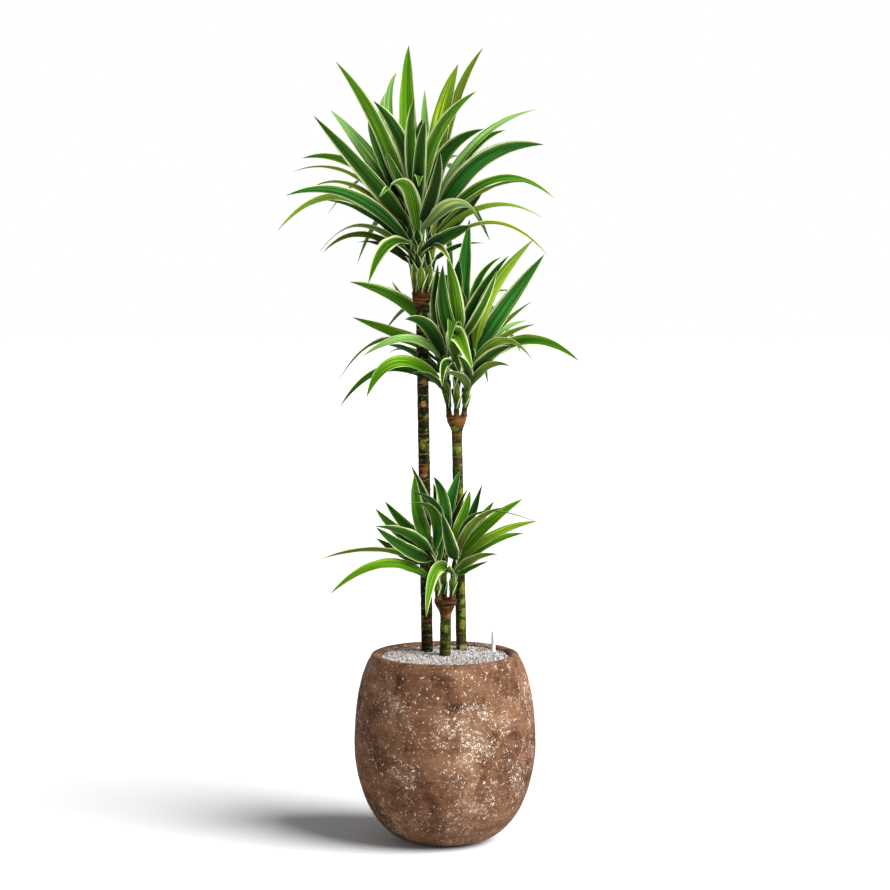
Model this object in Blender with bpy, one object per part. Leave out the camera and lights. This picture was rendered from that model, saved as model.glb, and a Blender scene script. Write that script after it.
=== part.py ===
"""Potted dracaena: three leafless canes of different heights, each topped by shoots with
striped sword leaves, planted in a round-bellied pot with a gravel top and a water gauge.

Metres, +Z up. The origin is the centre of the pot's underside and the front faces -Y.
"""

import math

import bmesh
import bpy
from mathutils import Vector
from mathutils.bvhtree import BVHTree

CM = 0.01
GAP = 0.0003

# Pot
POT_HEIGHT = 0.384
POT_BASE_RADIUS = 0.055
POT_BELLY_RADIUS = 0.184
POT_BELLY_HEIGHT = 0.205
POT_LIP_RADIUS = 0.1405
POT_LIP_HALF_WIDTH = 0.0105
POT_LIP_ROUNDING = 0.0085
POT_WALL = 0.013
POT_FLOOR = 0.018
POT_WELL_BASE_RADIUS = 0.060
POT_SIDES = 32
LIP_CENTRE_HEIGHT = POT_HEIGHT - POT_LIP_ROUNDING
WELL_RADIUS = POT_BELLY_RADIUS - POT_WALL

# The pot's profile: Bezier control points (radius, height) from the base to the belly, then to the lip
OUTER_LOWER_CURVE = ((POT_BASE_RADIUS, 0.0), (0.138, 0.0), (POT_BELLY_RADIUS, 0.1),
                     (POT_BELLY_RADIUS, POT_BELLY_HEIGHT))
OUTER_UPPER_CURVE = ((POT_BELLY_RADIUS, POT_BELLY_HEIGHT), (POT_BELLY_RADIUS, 0.27), (0.172, 0.345),
                     (POT_LIP_RADIUS + POT_LIP_HALF_WIDTH, LIP_CENTRE_HEIGHT))
INNER_LOWER_CURVE = ((POT_WELL_BASE_RADIUS, POT_FLOOR), (0.128, 0.020), (WELL_RADIUS, 0.11),
                     (WELL_RADIUS, POT_BELLY_HEIGHT))
INNER_UPPER_CURVE = ((WELL_RADIUS, POT_BELLY_HEIGHT), (WELL_RADIUS, 0.265), (0.156, 0.335),
                     (POT_LIP_RADIUS - POT_LIP_HALF_WIDTH, LIP_CENTRE_HEIGHT))

# Filling
GRAVEL_TOP = 0.3775
GRAVEL_BOTTOM = 0.355
GRAVEL_CROWN = 0.0015
ROOT_BALL_RADIUS = 0.105
ROOT_BALL_BOTTOM = 0.13
ROOT_BALL_SHOULDER = 0.325

# Water gauge
GAUGE_PLACE = Vector((0.099, 0.063, 0.0))
GAUGE_RADIUS = 0.0042
GAUGE_BORE = 0.0026
GAUGE_FOOT = 0.06
GAUGE_CAP_BOTTOM = 0.393
GAUGE_TOP = 0.4185
GAUGE_ROD_RADIUS = 0.0014
GAUGE_FLOAT_RADIUS = 0.0021
GAUGE_FLOAT_LENGTH = 0.05
GAUGE_ROD_TOP = 0.404
GAUGE_SIDES = 12

# Canes: foot and top centre (x, y, z), shaft radius and knob radius at the top
CANE_FOOT_DEPTH = 0.13
CANES = {
    "tall": (Vector((-0.0365, 0.058, GRAVEL_TOP)), Vector((-0.0475, 0.050, 1.108)), 0.0117, 0.0190),
    "middle": (Vector((0.0336, 0.074, GRAVEL_TOP)), Vector((0.0235, 0.066, 0.859)), 0.0106, 0.0200),
    "short": (Vector((0.0006, 0.006, GRAVEL_TOP)), Vector((0.0015, 0.004, 0.494)), 0.0111, 0.0225),
}
CANE_SIDES = 14
CANE_RINGS = 6
KNOB_HEIGHT = 0.035

# Shoots: foot, middle and top of the stem's curve in centimetres
SHOOTS = {
    "tall_left": ((-5.95, 5.6, 110.8), (-6.5, 5.9, 120.0), (-8.0, 6.3, 131.0)),
    "tall_centre": ((-4.7, 3.8, 110.8), (-5.2, 3.2, 120.0), (-5.8, 2.6, 131.0)),
    "tall_right": ((-3.5, 5.8, 110.8), (-3.0, 6.3, 120.0), (-2.6, 6.8, 130.0)),
    "middle_left": ((0.9, 7.1, 85.9), (0.1, 7.3, 94.0), (-0.6, 7.5, 104.0)),
    "middle_centre": ((2.35, 5.3, 85.9), (2.4, 4.8, 94.0), (2.6, 4.2, 104.0)),
    "middle_right": ((3.8, 7.0, 85.9), (4.7, 7.0, 92.5), (6.1, 6.6, 101.0)),
    "short_left": ((-1.35, -0.5, 49.4), (-1.9, -0.9, 54.5), (-2.7, -1.4, 61.5)),
    "short_centre": ((-0.2, 1.7, 49.4), (-0.3, 2.1, 54.5), (-0.5, 2.6, 62.0)),
    "short_right": ((1.4, -0.1, 49.4), (1.8, -0.2, 54.5), (2.7, -0.4, 61.0)),
}
SHOOT_FOOT_RADIUS = 0.0056
SHOOT_TOP_RADIUS = 0.0034
SHOOT_SIDES = 8
SHOOT_RINGS = 5
BARE_STEM = {"tall": 0.030, "middle": 0.030, "short": 0.016}
SHEATH_WALL = 0.0012
SHEATH_CAP = 0.010

# Leaves: the blade's outline widens from LEAF_FOOT_SHARE of its width and then runs out to a point
LEAF_THICKNESS = 0.0012
LEAF_FOLD = 0.30
LEAF_FOOT_SHARE = 0.44
LEAF_WIDENING = 2.2
LEAF_POINT_POWER = 3.2
LEAF_POINT_SHARPNESS = 0.9
MIDDLE_DEPTH_SHARE = 0.58
LEAF_SEGMENTS = 5
LEAF_CLEARANCE = 0.0011
FREE_PART = 0.34

# The crowns are laid out on the front elevation (plane y = 0), as an eye at VIEWPOINT sees them.
VIEWPOINT = Vector((0.0, -5.933, 1.428))

# One row a leaf: base height, (x, z) halfway, (x, z) at the tip, tip depth y and width, all in
# centimetres, then how far the blade turns from lying level to facing the eye, in percent.
LEAVES = {
    "tall_left": (
        (129.0, (-13.4, 144.6), (-21.6, 157.1), -4.0, 3.3, 69),
        (124.5, (-15.7, 134.8), (-26.1, 146.5), -9.0, 3.6, 83),
        (127.5, (-15.2, 138.8), (-22.6, 147.5), 19.0, 3.4, 76),
        (125.0, (-17.5, 136.4), (-28.4, 138.1), 15.0, 2.6, 48),
        (123.5, (-18.5, 134.9), (-30.3, 135.4), 8.0, 2.0, 37),
        (122.5, (-17.6, 132.4), (-26.9, 132.1), 12.0, 2.0, 34),
        (121.0, (-18.8, 130.9), (-31.7, 130.7), -8.0, 3.0, 59),
        (120.0, (-20.6, 130.4), (-33.3, 123.8), 2.0, 2.6, 40),
        (119.5, (-15.5, 127.2), (-24.2, 129.8), 6.0, 2.4, 37),
        (118.5, (-16.7, 124.8), (-25.0, 119.4), -4.0, 2.2, 34),
        (117.5, (-16.3, 123.0), (-24.3, 119.4), 8.0, 2.4, 37),
        (116.5, (-12.5, 120.9), (-17.6, 121.3), 14.0, 1.8, 31),
        (129.5, (-11.2, 146.0), (-9.6, 155.0), 16.0, 2.2, 90),
        (128.5, (-12.2, 142.5), (-11.8, 151.0), 20.0, 2.2, 90),
        (128.0, (-13.2, 139.0), (-15.2, 146.0), 14.0, 2.0, 48),
    ),
    "tall_centre": (
        (130.0, (-7.5, 147.0), (-7.2, 160.3), 3.0, 3.8, 90),
        (129.0, (-8.4, 141.0), (-14.2, 149.4), -10.0, 3.2, 62),
        (128.5, (-6.9, 141.0), (-6.1, 149.8), -12.0, 2.6, 90),
        (127.5, (-1.9, 142.3), (6.2, 151.3), -8.0, 3.0, 69),
        (126.0, (-4.9, 138.5), (-3.9, 145.4), -16.0, 2.8, 90),
        (122.0, (-7.9, 132.9), (-13.2, 130.2), -12.0, 3.4, 34),
        (124.0, (-2.2, 131.9), (-1.1, 139.4), -13.0, 2.8, 34),
        (120.5, (-11.2, 121.2), (-15.3, 113.2), -13.0, 3.6, 31),
        (123.0, (2.7, 129.3), (8.0, 123.2), -13.0, 3.4, 48),
        (118.0, (-1.9, 120.9), (1.2, 117.2), -8.0, 2.2, 34),
        (119.5, (0.9, 122.9), (5.0, 124.6), -10.0, 3.0, 59),
        (127.0, (-9.4, 134.5), (-11.8, 139.5), -14.0, 2.0, 34),
    ),
    "tall_right": (
        (128.0, (-1.2, 144.0), (2.6, 156.6), 8.0, 4.4, 90),
        (129.0, (1.4, 147.5), (7.5, 159.8), 14.0, 2.4, 76),
        (128.5, (-3.9, 141.0), (-4.0, 151.6), 18.0, 2.4, 90),
        (127.0, (5.9, 141.2), (18.0, 147.7), 13.0, 2.4, 45),
        (127.5, (-0.4, 138.4), (7.7, 143.9), -2.0, 3.4, 76),
        (126.0, (4.4, 138.8), (12.0, 143.6), 17.0, 2.8, 69),
        (124.5, (6.8, 137.5), (19.6, 140.8), -6.0, 3.8, 87),
        (123.5, (9.8, 133.9), (21.6, 130.3), 9.0, 2.8, 42),
        (122.5, (7.5, 131.6), (17.0, 133.2), 4.0, 2.0, 34),
        (121.5, (8.6, 128.7), (19.3, 126.3), 13.0, 2.4, 34),
        (119.5, (9.5, 125.4), (20.6, 118.7), 2.0, 2.2, 31),
        (120.5, (2.5, 126.6), (7.5, 131.4), 15.0, 3.6, 76),
        (117.0, (2.3, 120.6), (7.7, 121.2), 15.0, 1.8, 31),
    ),
    "middle_left": (
        (100.5, (-8.0, 109.4), (-19.0, 113.5), -1.0, 3.2, 73),
        (99.0, (-8.8, 102.9), (-18.5, 106.4), 16.0, 2.8, 68),
        (98.0, (-3.7, 104.9), (-8.0, 106.0), -8.0, 3.2, 41),
        (97.0, (-7.2, 102.2), (-16.5, 98.6), -4.0, 2.8, 48),
        (96.0, (-12.3, 102.0), (-22.3, 92.0), 9.0, 2.2, 34),
        (94.0, (-6.6, 99.5), (-11.3, 100.8), 3.0, 2.2, 40),
        (94.5, (-6.8, 99.9), (-11.7, 98.8), 15.0, 2.0, 31),
        (93.0, (-9.6, 97.6), (-15.7, 90.4), -5.0, 3.2, 54),
        (91.5, (-11.5, 96.2), (-21.1, 88.4), 8.0, 2.6, 45),
        (90.5, (-3.9, 95.1), (-8.8, 94.2), -3.0, 1.8, 31),
        (101.5, (-1.8, 108.0), (-1.4, 117.0), 15.0, 3.0, 90),
        (102.0, (-6.2, 107.6), (-10.6, 113.6), 18.0, 1.8, 48),
    ),
    "middle_centre": (
        (103.0, (3.5, 113.6), (4.9, 126.0), 12.0, 3.6, 90),
        (102.0, (2.2, 109.8), (0.4, 118.9), -3.0, 3.2, 90),
        (101.0, (-0.1, 108.2), (-0.4, 116.9), -5.0, 3.0, 90),
        (102.5, (7.1, 111.5), (12.7, 118.7), 6.0, 2.4, 76),
        (101.0, (7.2, 108.2), (10.4, 115.8), -2.0, 2.2, 55),
        (97.5, (1.6, 101.8), (0.4, 107.6), 5.0, 3.0, 90),
        (95.0, (0.1, 97.2), (-0.6, 92.4), -9.0, 2.0, 90),
        (97.0, (2.3, 103.1), (5.7, 95.6), -9.0, 3.8, 90),
    ),
    "middle_right": (
        (100.0, (9.0, 111.0), (17.6, 121.9), 2.0, 3.0, 90),
        (99.0, (12.0, 108.6), (19.8, 118.9), 5.0, 3.8, 97),
        (99.5, (5.9, 111.8), (11.1, 118.4), 18.0, 2.2, 34),
        (99.8, (7.7, 104.6), (9.4, 110.9), 14.0, 2.4, 34),
        (98.0, (11.5, 105.0), (17.3, 109.5), 15.0, 1.8, 37),
        (97.5, (11.0, 103.6), (16.3, 105.7), 20.0, 1.8, 31),
        (97.0, (11.3, 102.4), (17.9, 105.0), 11.0, 2.0, 34),
        (96.0, (11.6, 101.8), (17.9, 97.4), -6.0, 2.6, 45),
        (95.0, (15.9, 101.9), (26.9, 97.6), 3.0, 3.2, 55),
        (93.8, (9.0, 98.7), (13.4, 100.7), -6.0, 2.8, 62),
        (95.5, (12.0, 101.6), (16.6, 99.6), 13.0, 2.0, 31),
        (91.5, (8.5, 96.6), (12.9, 96.6), -1.0, 2.2, 40),
        (91.0, (3.2, 94.6), (-1.4, 95.4), -5.0, 2.0, 40),
        (92.5, (4.4, 96.2), (2.5, 98.8), -3.5, 2.2, 90),
    ),
    "short_left": (
        (60.0, (-5.4, 67.0), (-6.1, 74.8), 1.0, 3.0, 90),
        (60.5, (-7.3, 63.8), (-12.1, 69.3), 8.0, 2.8, 62),
        (59.5, (-8.6, 62.6), (-14.0, 67.8), 14.0, 2.8, 55),
        (59.0, (-7.6, 62.9), (-14.2, 64.2), -9.0, 2.8, 56),
        (57.5, (-8.0, 59.7), (-13.9, 64.0), -4.0, 3.0, 68),
        (56.5, (-8.2, 58.6), (-13.9, 61.8), 10.0, 2.6, 48),
        (56.0, (-13.0, 59.5), (-24.9, 57.6), 5.0, 2.0, 31),
        (54.0, (-7.5, 56.2), (-12.6, 57.4), 1.0, 1.8, 31),
        (53.0, (-12.3, 56.7), (-23.2, 50.4), -6.0, 2.8, 51),
    ),
    "short_centre": (
        (61.0, (-3.2, 68.4), (-6.8, 76.6), 6.0, 2.8, 48),
        (60.0, (-1.1, 66.0), (-2.3, 73.0), 10.0, 2.4, 90),
        (61.2, (0.7, 68.0), (3.1, 75.6), 8.0, 3.0, 90),
        (59.5, (1.9, 66.4), (4.7, 72.0), 3.0, 2.0, 37),
        (58.0, (3.4, 65.6), (5.0, 71.4), 11.0, 2.4, 90),
    ),
    "short_right": (
        (60.0, (5.0, 65.4), (7.5, 72.8), 2.0, 3.0, 34),
        (59.5, (6.2, 64.5), (9.9, 69.3), 9.0, 2.6, 54),
        (58.5, (5.5, 64.6), (11.6, 68.0), -6.0, 2.2, 48),
        (58.0, (8.7, 64.8), (15.6, 69.7), -2.0, 2.6, 65),
        (57.0, (9.9, 62.6), (18.5, 65.2), 1.0, 2.4, 51),
        (56.0, (8.8, 60.9), (15.9, 62.8), 7.0, 2.6, 51),
        (55.0, (6.3, 57.9), (10.7, 58.5), -7.0, 2.4, 45),
        (54.0, (5.2, 55.8), (8.8, 57.1), 5.0, 1.8, 37),
        (57.5, (1.0, 61.0), (-0.6, 67.0), -10.0, 2.8, 90),
        (54.5, (-1.9, 55.0), (-3.8, 45.6), -9.0, 2.6, 90),
    ),
}

# Leaves spread by rule, mostly over the back of each crown: how many, the middle of their azimuths
# in degrees (0 is +X, 90 is the back), how far the highest fan to either side (the lowest fan by
# BACK_LOW_FAN of that) and how steep the lowest is.
# The highest is BACK_RISE_SPAN degrees steeper. Lowest and highest also say where they grow: metres
# above the sheath's foot and share of the stem.
BACK_LEAVES = {
    "tall_left": (5, 112, 34, 16),
    "tall_centre": (3, 266, 34, 46),
    "tall_right": (6, 76, 36, 14),
    "middle_left": (5, 104, 32, 20),
    "middle_centre": (3, 262, 34, 46),
    "middle_right": (5, 76, 34, 16),
    "short_left": (2, 244, 16, 58),
    "short_centre": (3, 92, 44, 40),
    "short_right": (1, 336, 20, 24),
}
BACK_LENGTH = {"tall": 0.30, "middle": 0.27, "short": 0.22}
BACK_WIDTH = 0.029
BACK_LENGTH_SWING = 0.15
BACK_RISE_SPAN = 48
BACK_DROOP = 22
BACK_LOWEST = 0.012
BACK_HIGHEST = 0.94
BACK_MIDDLE = 0.56
BACK_LOW_FAN = 0.4
GOLDEN = 0.618034


def remove_everything():
    for thing in list(bpy.data.objects):
        bpy.data.objects.remove(thing, do_unlink=True)


def add_object(name, bm):
    """Turn a bmesh into a closed object of flat triangles that look outwards."""
    bmesh.ops.triangulate(bm, faces=bm.faces)
    bmesh.ops.recalc_face_normals(bm, faces=bm.faces)
    mesh = bpy.data.meshes.new(name)
    bm.to_mesh(mesh)
    bm.free()
    thing = bpy.data.objects.new(name, mesh)
    bpy.context.scene.collection.objects.link(thing)
    return thing


def add_material(thing, colour, roughness, transmission=0.0):
    material = bpy.data.materials.new(thing.name)
    material.use_nodes = True
    shader = material.node_tree.nodes["Principled BSDF"]
    shader.inputs["Base Color"].default_value = (*colour, 1.0)
    shader.inputs["Roughness"].default_value = roughness
    shader.inputs["Metallic"].default_value = 0.0
    shader.inputs["Transmission Weight"].default_value = transmission
    thing.data.materials.clear()
    thing.data.materials.append(material)
    for face in thing.data.polygons:
        face.material_index = 0


def smooth(thing, angle=35):
    thing.data.shade_smooth()
    thing.data.set_sharp_from_angle(angle=math.radians(angle))


def loft(rings):
    """Join rings of points into a closed skin. A ring of one point makes a pointed end."""
    bm = bmesh.new()
    rows = [[bm.verts.new(point) for point in ring] for ring in rings]
    for lower, upper in zip(rows, rows[1:]):
        count = max(len(lower), len(upper))
        for i in range(count):
            j = (i + 1) % count
            if len(lower) == 1:
                bm.faces.new((lower[0], upper[j], upper[i]))
            elif len(upper) == 1:
                bm.faces.new((lower[i], lower[j], upper[0]))
            else:
                bm.faces.new((lower[i], lower[j], upper[j], upper[i]))
    for end in (rows[0], rows[-1]):
        if len(end) > 2:
            bm.faces.new(end)
    return bm


def circle(centre, radius, sides):
    """A level ring of points."""
    if radius == 0.0:
        return [Vector(centre)]
    turn = 2 * math.pi / sides
    return [Vector(centre) + Vector((radius * math.cos(k * turn), radius * math.sin(k * turn), 0.0))
            for k in range(sides)]


def revolve(name, outline, sides, centre=Vector((0, 0, 0))):
    """Spin an outline of (radius, height) that runs from the axis round to the axis again."""
    rings = [circle(centre + Vector((0, 0, height)), radius, sides) for radius, height in outline]
    return add_object(name, loft(rings))


def bezier(points, t):
    """A point on the Bezier curve with these control points."""
    points = [Vector(point) for point in points]
    while len(points) > 1:
        points = [a.lerp(b, t) for a, b in zip(points, points[1:])]
    return points[0]


def combine(target, operand, operation, solver="EXACT"):
    """Apply one Boolean to the target and remove the operand."""
    modifier = target.modifiers.new(operation.title(), "BOOLEAN")
    modifier.operation = operation
    modifier.solver = solver
    modifier.object = operand
    graph = bpy.context.evaluated_depsgraph_get()
    mesh = bpy.data.meshes.new_from_object(target.evaluated_get(graph))
    target.modifiers.clear()
    target.data = mesh
    bpy.data.objects.remove(operand, do_unlink=True)


def keep_outer_skin(thing):
    """Keep the largest shell: blades that cross enclose small pockets, which are filled."""
    bm = bmesh.new()
    bm.from_mesh(thing.data)
    unseen = set(bm.verts)
    shells = []
    while unseen:
        front = [unseen.pop()]
        shell = list(front)
        while front:
            vertex = front.pop()
            linked = [edge.other_vert(vertex) for edge in vertex.link_edges]
            fresh = [other for other in linked if other in unseen]
            front += fresh
            shell += fresh
            unseen.difference_update(fresh)
        shells.append(shell)
    shells.sort(key=len)
    bmesh.ops.delete(bm, geom=[vertex for shell in shells[:-1] for vertex in shell], context="VERTS")
    bm.to_mesh(thing.data)
    bm.free()


# Pot and filling

def wall_curve(lower, upper, steps):
    """(radius, height) up one face of the pot's wall, along its two curves."""
    points = [bezier([(*p, 0.0) for p in lower], k / steps) for k in range(steps)]
    points += [bezier([(*p, 0.0) for p in upper], k / steps) for k in range(steps + 1)]
    return [(p.x, p.y) for p in points]


def outer_wall():
    return wall_curve(OUTER_LOWER_CURVE, OUTER_UPPER_CURVE, 5)


def inner_wall():
    return wall_curve(INNER_LOWER_CURVE, INNER_UPPER_CURVE, 4)


def lip(steps=4):
    """(radius, height) over the rounded lip, between the outer and the inner wall."""
    angles = [math.pi * k / steps for k in range(1, steps)]
    return [(POT_LIP_RADIUS + POT_LIP_HALF_WIDTH * math.cos(a),
             LIP_CENTRE_HEIGHT + POT_LIP_ROUNDING * math.sin(a))
            for a in angles]


def inner_wall_between(bottom, top):
    """The inner wall from one height to another, drawn in by the gap that a filling keeps."""
    wall = inner_wall()
    wall.append((wall[-1][0], POT_HEIGHT))
    points = []
    for (r0, z0), (r1, z1) in zip(wall, wall[1:]):
        for level in (bottom, top):
            if z0 <= level < z1:
                share = (level - z0) / (z1 - z0)
                points.append((r0 + share * (r1 - r0), level))
        if bottom < z1 < top:
            points.append((r1, z1))
    return [(radius - GAP, height) for radius, height in points]


def build_pot():
    outline = [(0.0, 0.0)] + outer_wall() + lip() + inner_wall()[::-1] + [(0.0, POT_FLOOR)]
    pot = revolve("pot", outline, POT_SIDES)
    smooth(pot)
    add_material(pot, (0.23, 0.12, 0.08), 0.75)


def build_substrate():
    bottom = POT_FLOOR + GAP
    outline = [(0.0, bottom), (POT_WELL_BASE_RADIUS - GAP, bottom)]
    outline += inner_wall_between(bottom + 0.001, GRAVEL_BOTTOM - GAP) + [(0.0, GRAVEL_BOTTOM - GAP)]
    substrate = revolve("potting_substrate", outline, POT_SIDES)
    combine(substrate, root_ball_solid("root_pocket", GAP), "DIFFERENCE")
    combine(substrate, gauge_bore(), "DIFFERENCE")
    add_material(substrate, (0.06, 0.04, 0.03), 0.95)


def root_ball_solid(name, extra):
    """The root ball, or its pocket when extra clearance is given."""
    radius = ROOT_BALL_RADIUS + extra
    low = ROOT_BALL_BOTTOM - extra
    top = GRAVEL_BOTTOM - GAP if extra == 0.0 else GRAVEL_BOTTOM + 0.01
    outline = [(0.0, low), (0.6 * radius, low), (0.9 * radius, low + 0.03), (radius, low + 0.08),
               (radius, ROOT_BALL_SHOULDER), (radius, top), (0.0, top)]
    return revolve(name, outline, POT_SIDES)


def build_root_ball():
    ball = root_ball_solid("root_ball", 0.0)
    for cane in CANES:
        combine(ball, cane_solid("cane_hole", cane, GAP), "DIFFERENCE")
    add_material(ball, (0.10, 0.065, 0.04), 0.95)


def build_gravel():
    outline = [(0.0, GRAVEL_BOTTOM)] + inner_wall_between(GRAVEL_BOTTOM, GRAVEL_TOP)
    rim_radius = outline[-1][0]
    outline += [(rim_radius * share, GRAVEL_TOP + GRAVEL_CROWN * (1 - share ** 2)) for share in (0.75, 0.4)]
    outline.append((0.0, GRAVEL_TOP + GRAVEL_CROWN))
    gravel = revolve("gravel_bed", outline, POT_SIDES)
    for cane in CANES:
        combine(gravel, cane_solid("cane_hole", cane, GAP), "DIFFERENCE")
    combine(gravel, gauge_bore(), "DIFFERENCE")
    add_material(gravel, (0.72, 0.70, 0.72), 0.85)


# Water gauge

def gauge_bore():
    outline = [(0.0, GAUGE_FOOT - GAP), (GAUGE_RADIUS + GAP, GAUGE_FOOT - GAP),
               (GAUGE_RADIUS + GAP, POT_HEIGHT + 0.05), (0.0, POT_HEIGHT + 0.05)]
    return revolve("gauge_bore", outline, GAUGE_SIDES, GAUGE_PLACE)


def build_gauge():
    wall = GAUGE_RADIUS - GAUGE_BORE
    tube_top = GAUGE_CAP_BOTTOM - GAP
    outline = [(0.0, GAUGE_FOOT), (GAUGE_RADIUS, GAUGE_FOOT),
               (GAUGE_RADIUS, tube_top), (GAUGE_BORE, tube_top),
               (GAUGE_BORE, GAUGE_FOOT + wall), (0.0, GAUGE_FOOT + wall)]
    tube = revolve("gauge_tube", outline, GAUGE_SIDES, GAUGE_PLACE)
    smooth(tube)
    add_material(tube, (0.86, 0.85, 0.82), 0.4)

    dome = GAUGE_TOP - GAUGE_RADIUS
    arc = [math.radians(angle) for angle in (0, 30, 60)]
    outline = [(0.0, dome + GAUGE_BORE), (GAUGE_BORE, dome), (GAUGE_BORE, GAUGE_CAP_BOTTOM),
               (GAUGE_RADIUS, GAUGE_CAP_BOTTOM)]
    outline += [(GAUGE_RADIUS * math.cos(a), dome + GAUGE_RADIUS * math.sin(a)) for a in arc]
    outline.append((0.0, GAUGE_TOP))
    cap = revolve("gauge_cap", outline, GAUGE_SIDES, GAUGE_PLACE)
    smooth(cap)
    add_material(cap, (0.90, 0.91, 0.92), 0.15, transmission=0.8)

    low = GAUGE_FOOT + wall + GAP
    outline = [(0.0, low), (GAUGE_FLOAT_RADIUS, low), (GAUGE_FLOAT_RADIUS, low + GAUGE_FLOAT_LENGTH),
               (GAUGE_ROD_RADIUS, low + GAUGE_FLOAT_LENGTH + 0.001), (GAUGE_ROD_RADIUS, GAUGE_ROD_TOP),
               (0.0, GAUGE_ROD_TOP)]
    rod = revolve("gauge_float_rod", outline, GAUGE_SIDES, GAUGE_PLACE)
    add_material(rod, (0.80, 0.80, 0.78), 0.5)


# Canes and shoots

def cane_point(cane, height):
    """The cane's axis at a height: straight, and leaning."""
    foot, top = CANES[cane][:2]
    return foot.lerp(top, (height - foot.z) / (top.z - foot.z))


def cane_solid(name, cane, extra):
    """One cane with its swollen top, or the hole it stands in when extra clearance is given."""
    radius, knob_radius = CANES[cane][2:]
    top = CANES[cane][1].z
    bottom = GRAVEL_TOP - CANE_FOOT_DEPTH - extra
    rings = []
    for k in range(CANE_RINGS):
        share = k / (CANE_RINGS - 1)
        height = bottom + share * (top - KNOB_HEIGHT - bottom)
        rings.append(circle(cane_point(cane, height), radius + extra, CANE_SIDES))
    for share in (0.35, 0.65, 0.9, 1.0):
        swell = min(1.0, share / 0.9)
        swell = swell * swell * (3 - 2 * swell) - 0.25 * max(0.0, share - 0.9)
        height = top - KNOB_HEIGHT * (1 - share)
        ring_radius = radius + swell * (knob_radius - radius) + extra
        rings.append(circle(cane_point(cane, height), ring_radius, CANE_SIDES))
    return add_object(name, loft(rings))


def build_canes():
    for cane in CANES:
        solid = cane_solid(f"{cane}_cane", cane, 0.0)
        smooth(solid, 50)
        add_material(solid, (0.12, 0.11, 0.04), 0.7)


def stem_point(shoot, share):
    """A point up the shoot's stem, on the curve through its middle point."""
    foot, middle, top = (Vector(point) * CM for point in SHOOTS[shoot])
    control = 2 * middle - (foot + top) / 2
    return bezier((foot, control, top), share)


def stem_share(shoot, height):
    """How far up the stem a height lies."""
    low, high = 0.0, 1.0
    for _ in range(30):
        middle = (low + high) / 2
        if stem_point(shoot, middle).z < height:
            low = middle
        else:
            high = middle
    return low


def stem_radius(share):
    return SHOOT_FOOT_RADIUS + share * (SHOOT_TOP_RADIUS - SHOOT_FOOT_RADIUS)


def stem_rings(shoot, first, last, extra, count=SHOOT_RINGS):
    rings = []
    for k in range(count):
        share = first + (last - first) * k / (count - 1)
        rings.append(circle(stem_point(shoot, share), stem_radius(share) + extra, SHOOT_SIDES))
    return rings


def stem_solid(name, shoot, extra):
    """A shoot's bare stem, or the bore through its leaf sheaths when extra clearance is given."""
    rings = stem_rings(shoot, 0.0, 0.97, extra)
    if extra > 0.0:
        rings.insert(0, [point - Vector((0, 0, 0.01)) for point in rings[0]])
        rings.append([point + Vector((0, 0, extra)) for point in rings[-1]])
    else:
        for point in rings[0]:
            point.z += GAP
    return add_object(name, loft(rings))


def build_shoots():
    for shoot in SHOOTS:
        stem = stem_solid(f"{shoot}_shoot", shoot, 0.0)
        smooth(stem, 50)
        add_material(stem, (0.10, 0.14, 0.04), 0.65)


def sheath_rings(shoot):
    """The sleeve of leaf sheaths round the upper part of a shoot, closed at the growing tip."""
    cane = shoot.split("_")[0]
    low = stem_share(shoot, stem_point(shoot, 0.0).z + BARE_STEM[cane])
    rings = stem_rings(shoot, low, 1.0, GAP + SHEATH_WALL)
    tip = stem_point(shoot, 1.0)
    rings.append([tip + Vector((0, 0, SHEATH_CAP))])
    return rings


# Leaves

def on_sight_line(x, z, depth):
    """Slide a point of the front elevation along the line of sight to a depth y."""
    share = (depth - VIEWPOINT.y) / -VIEWPOINT.y
    return VIEWPOINT.lerp(Vector((x, 0.0, z)), share)


def leaf_spine(leaf):
    """The control points of the leaf's curve, which passes through its halfway point."""
    base, middle, tip = leaf["points"]
    return base, 2 * middle - (base + tip) / 2, tip


def leaf_half_width(width, t):
    """Half the blade's width: a narrow foot, a long even blade and a drawn-out point."""
    widening = min(1.0, LEAF_FOOT_SHARE + LEAF_WIDENING * t)
    return width / 2 * widening * (1 - t ** LEAF_POINT_POWER) ** LEAF_POINT_SHARPNESS


def facing_side(ahead, centre):
    """The direction across a blade that is seen flat on from the viewpoint."""
    return ahead.cross(centre - VIEWPOINT).normalized()


def leaf_axes(leaf, t):
    """The blade's centre, then its directions ahead, across and out of its upper face."""
    spine = leaf_spine(leaf)
    heading = Vector(spine[2] - spine[0])
    heading.z = 0.0
    level_side = heading.cross(Vector((0, 0, 1))).normalized()
    halfway = facing_side(spine[2] - spine[0], spine[1])
    if halfway.dot(level_side) < 0:
        halfway = -halfway
    centre = bezier(spine, t)
    ahead = (spine[1] - spine[0]).lerp(spine[2] - spine[1], t).normalized()
    side = facing_side(ahead, centre)
    if side.dot(halfway) < 0:
        side = -side
    side = level_side.lerp(side, leaf["facing"])
    side = (side - ahead * side.dot(ahead)).normalized()
    return centre, ahead, side, side.cross(ahead).normalized()


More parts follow.
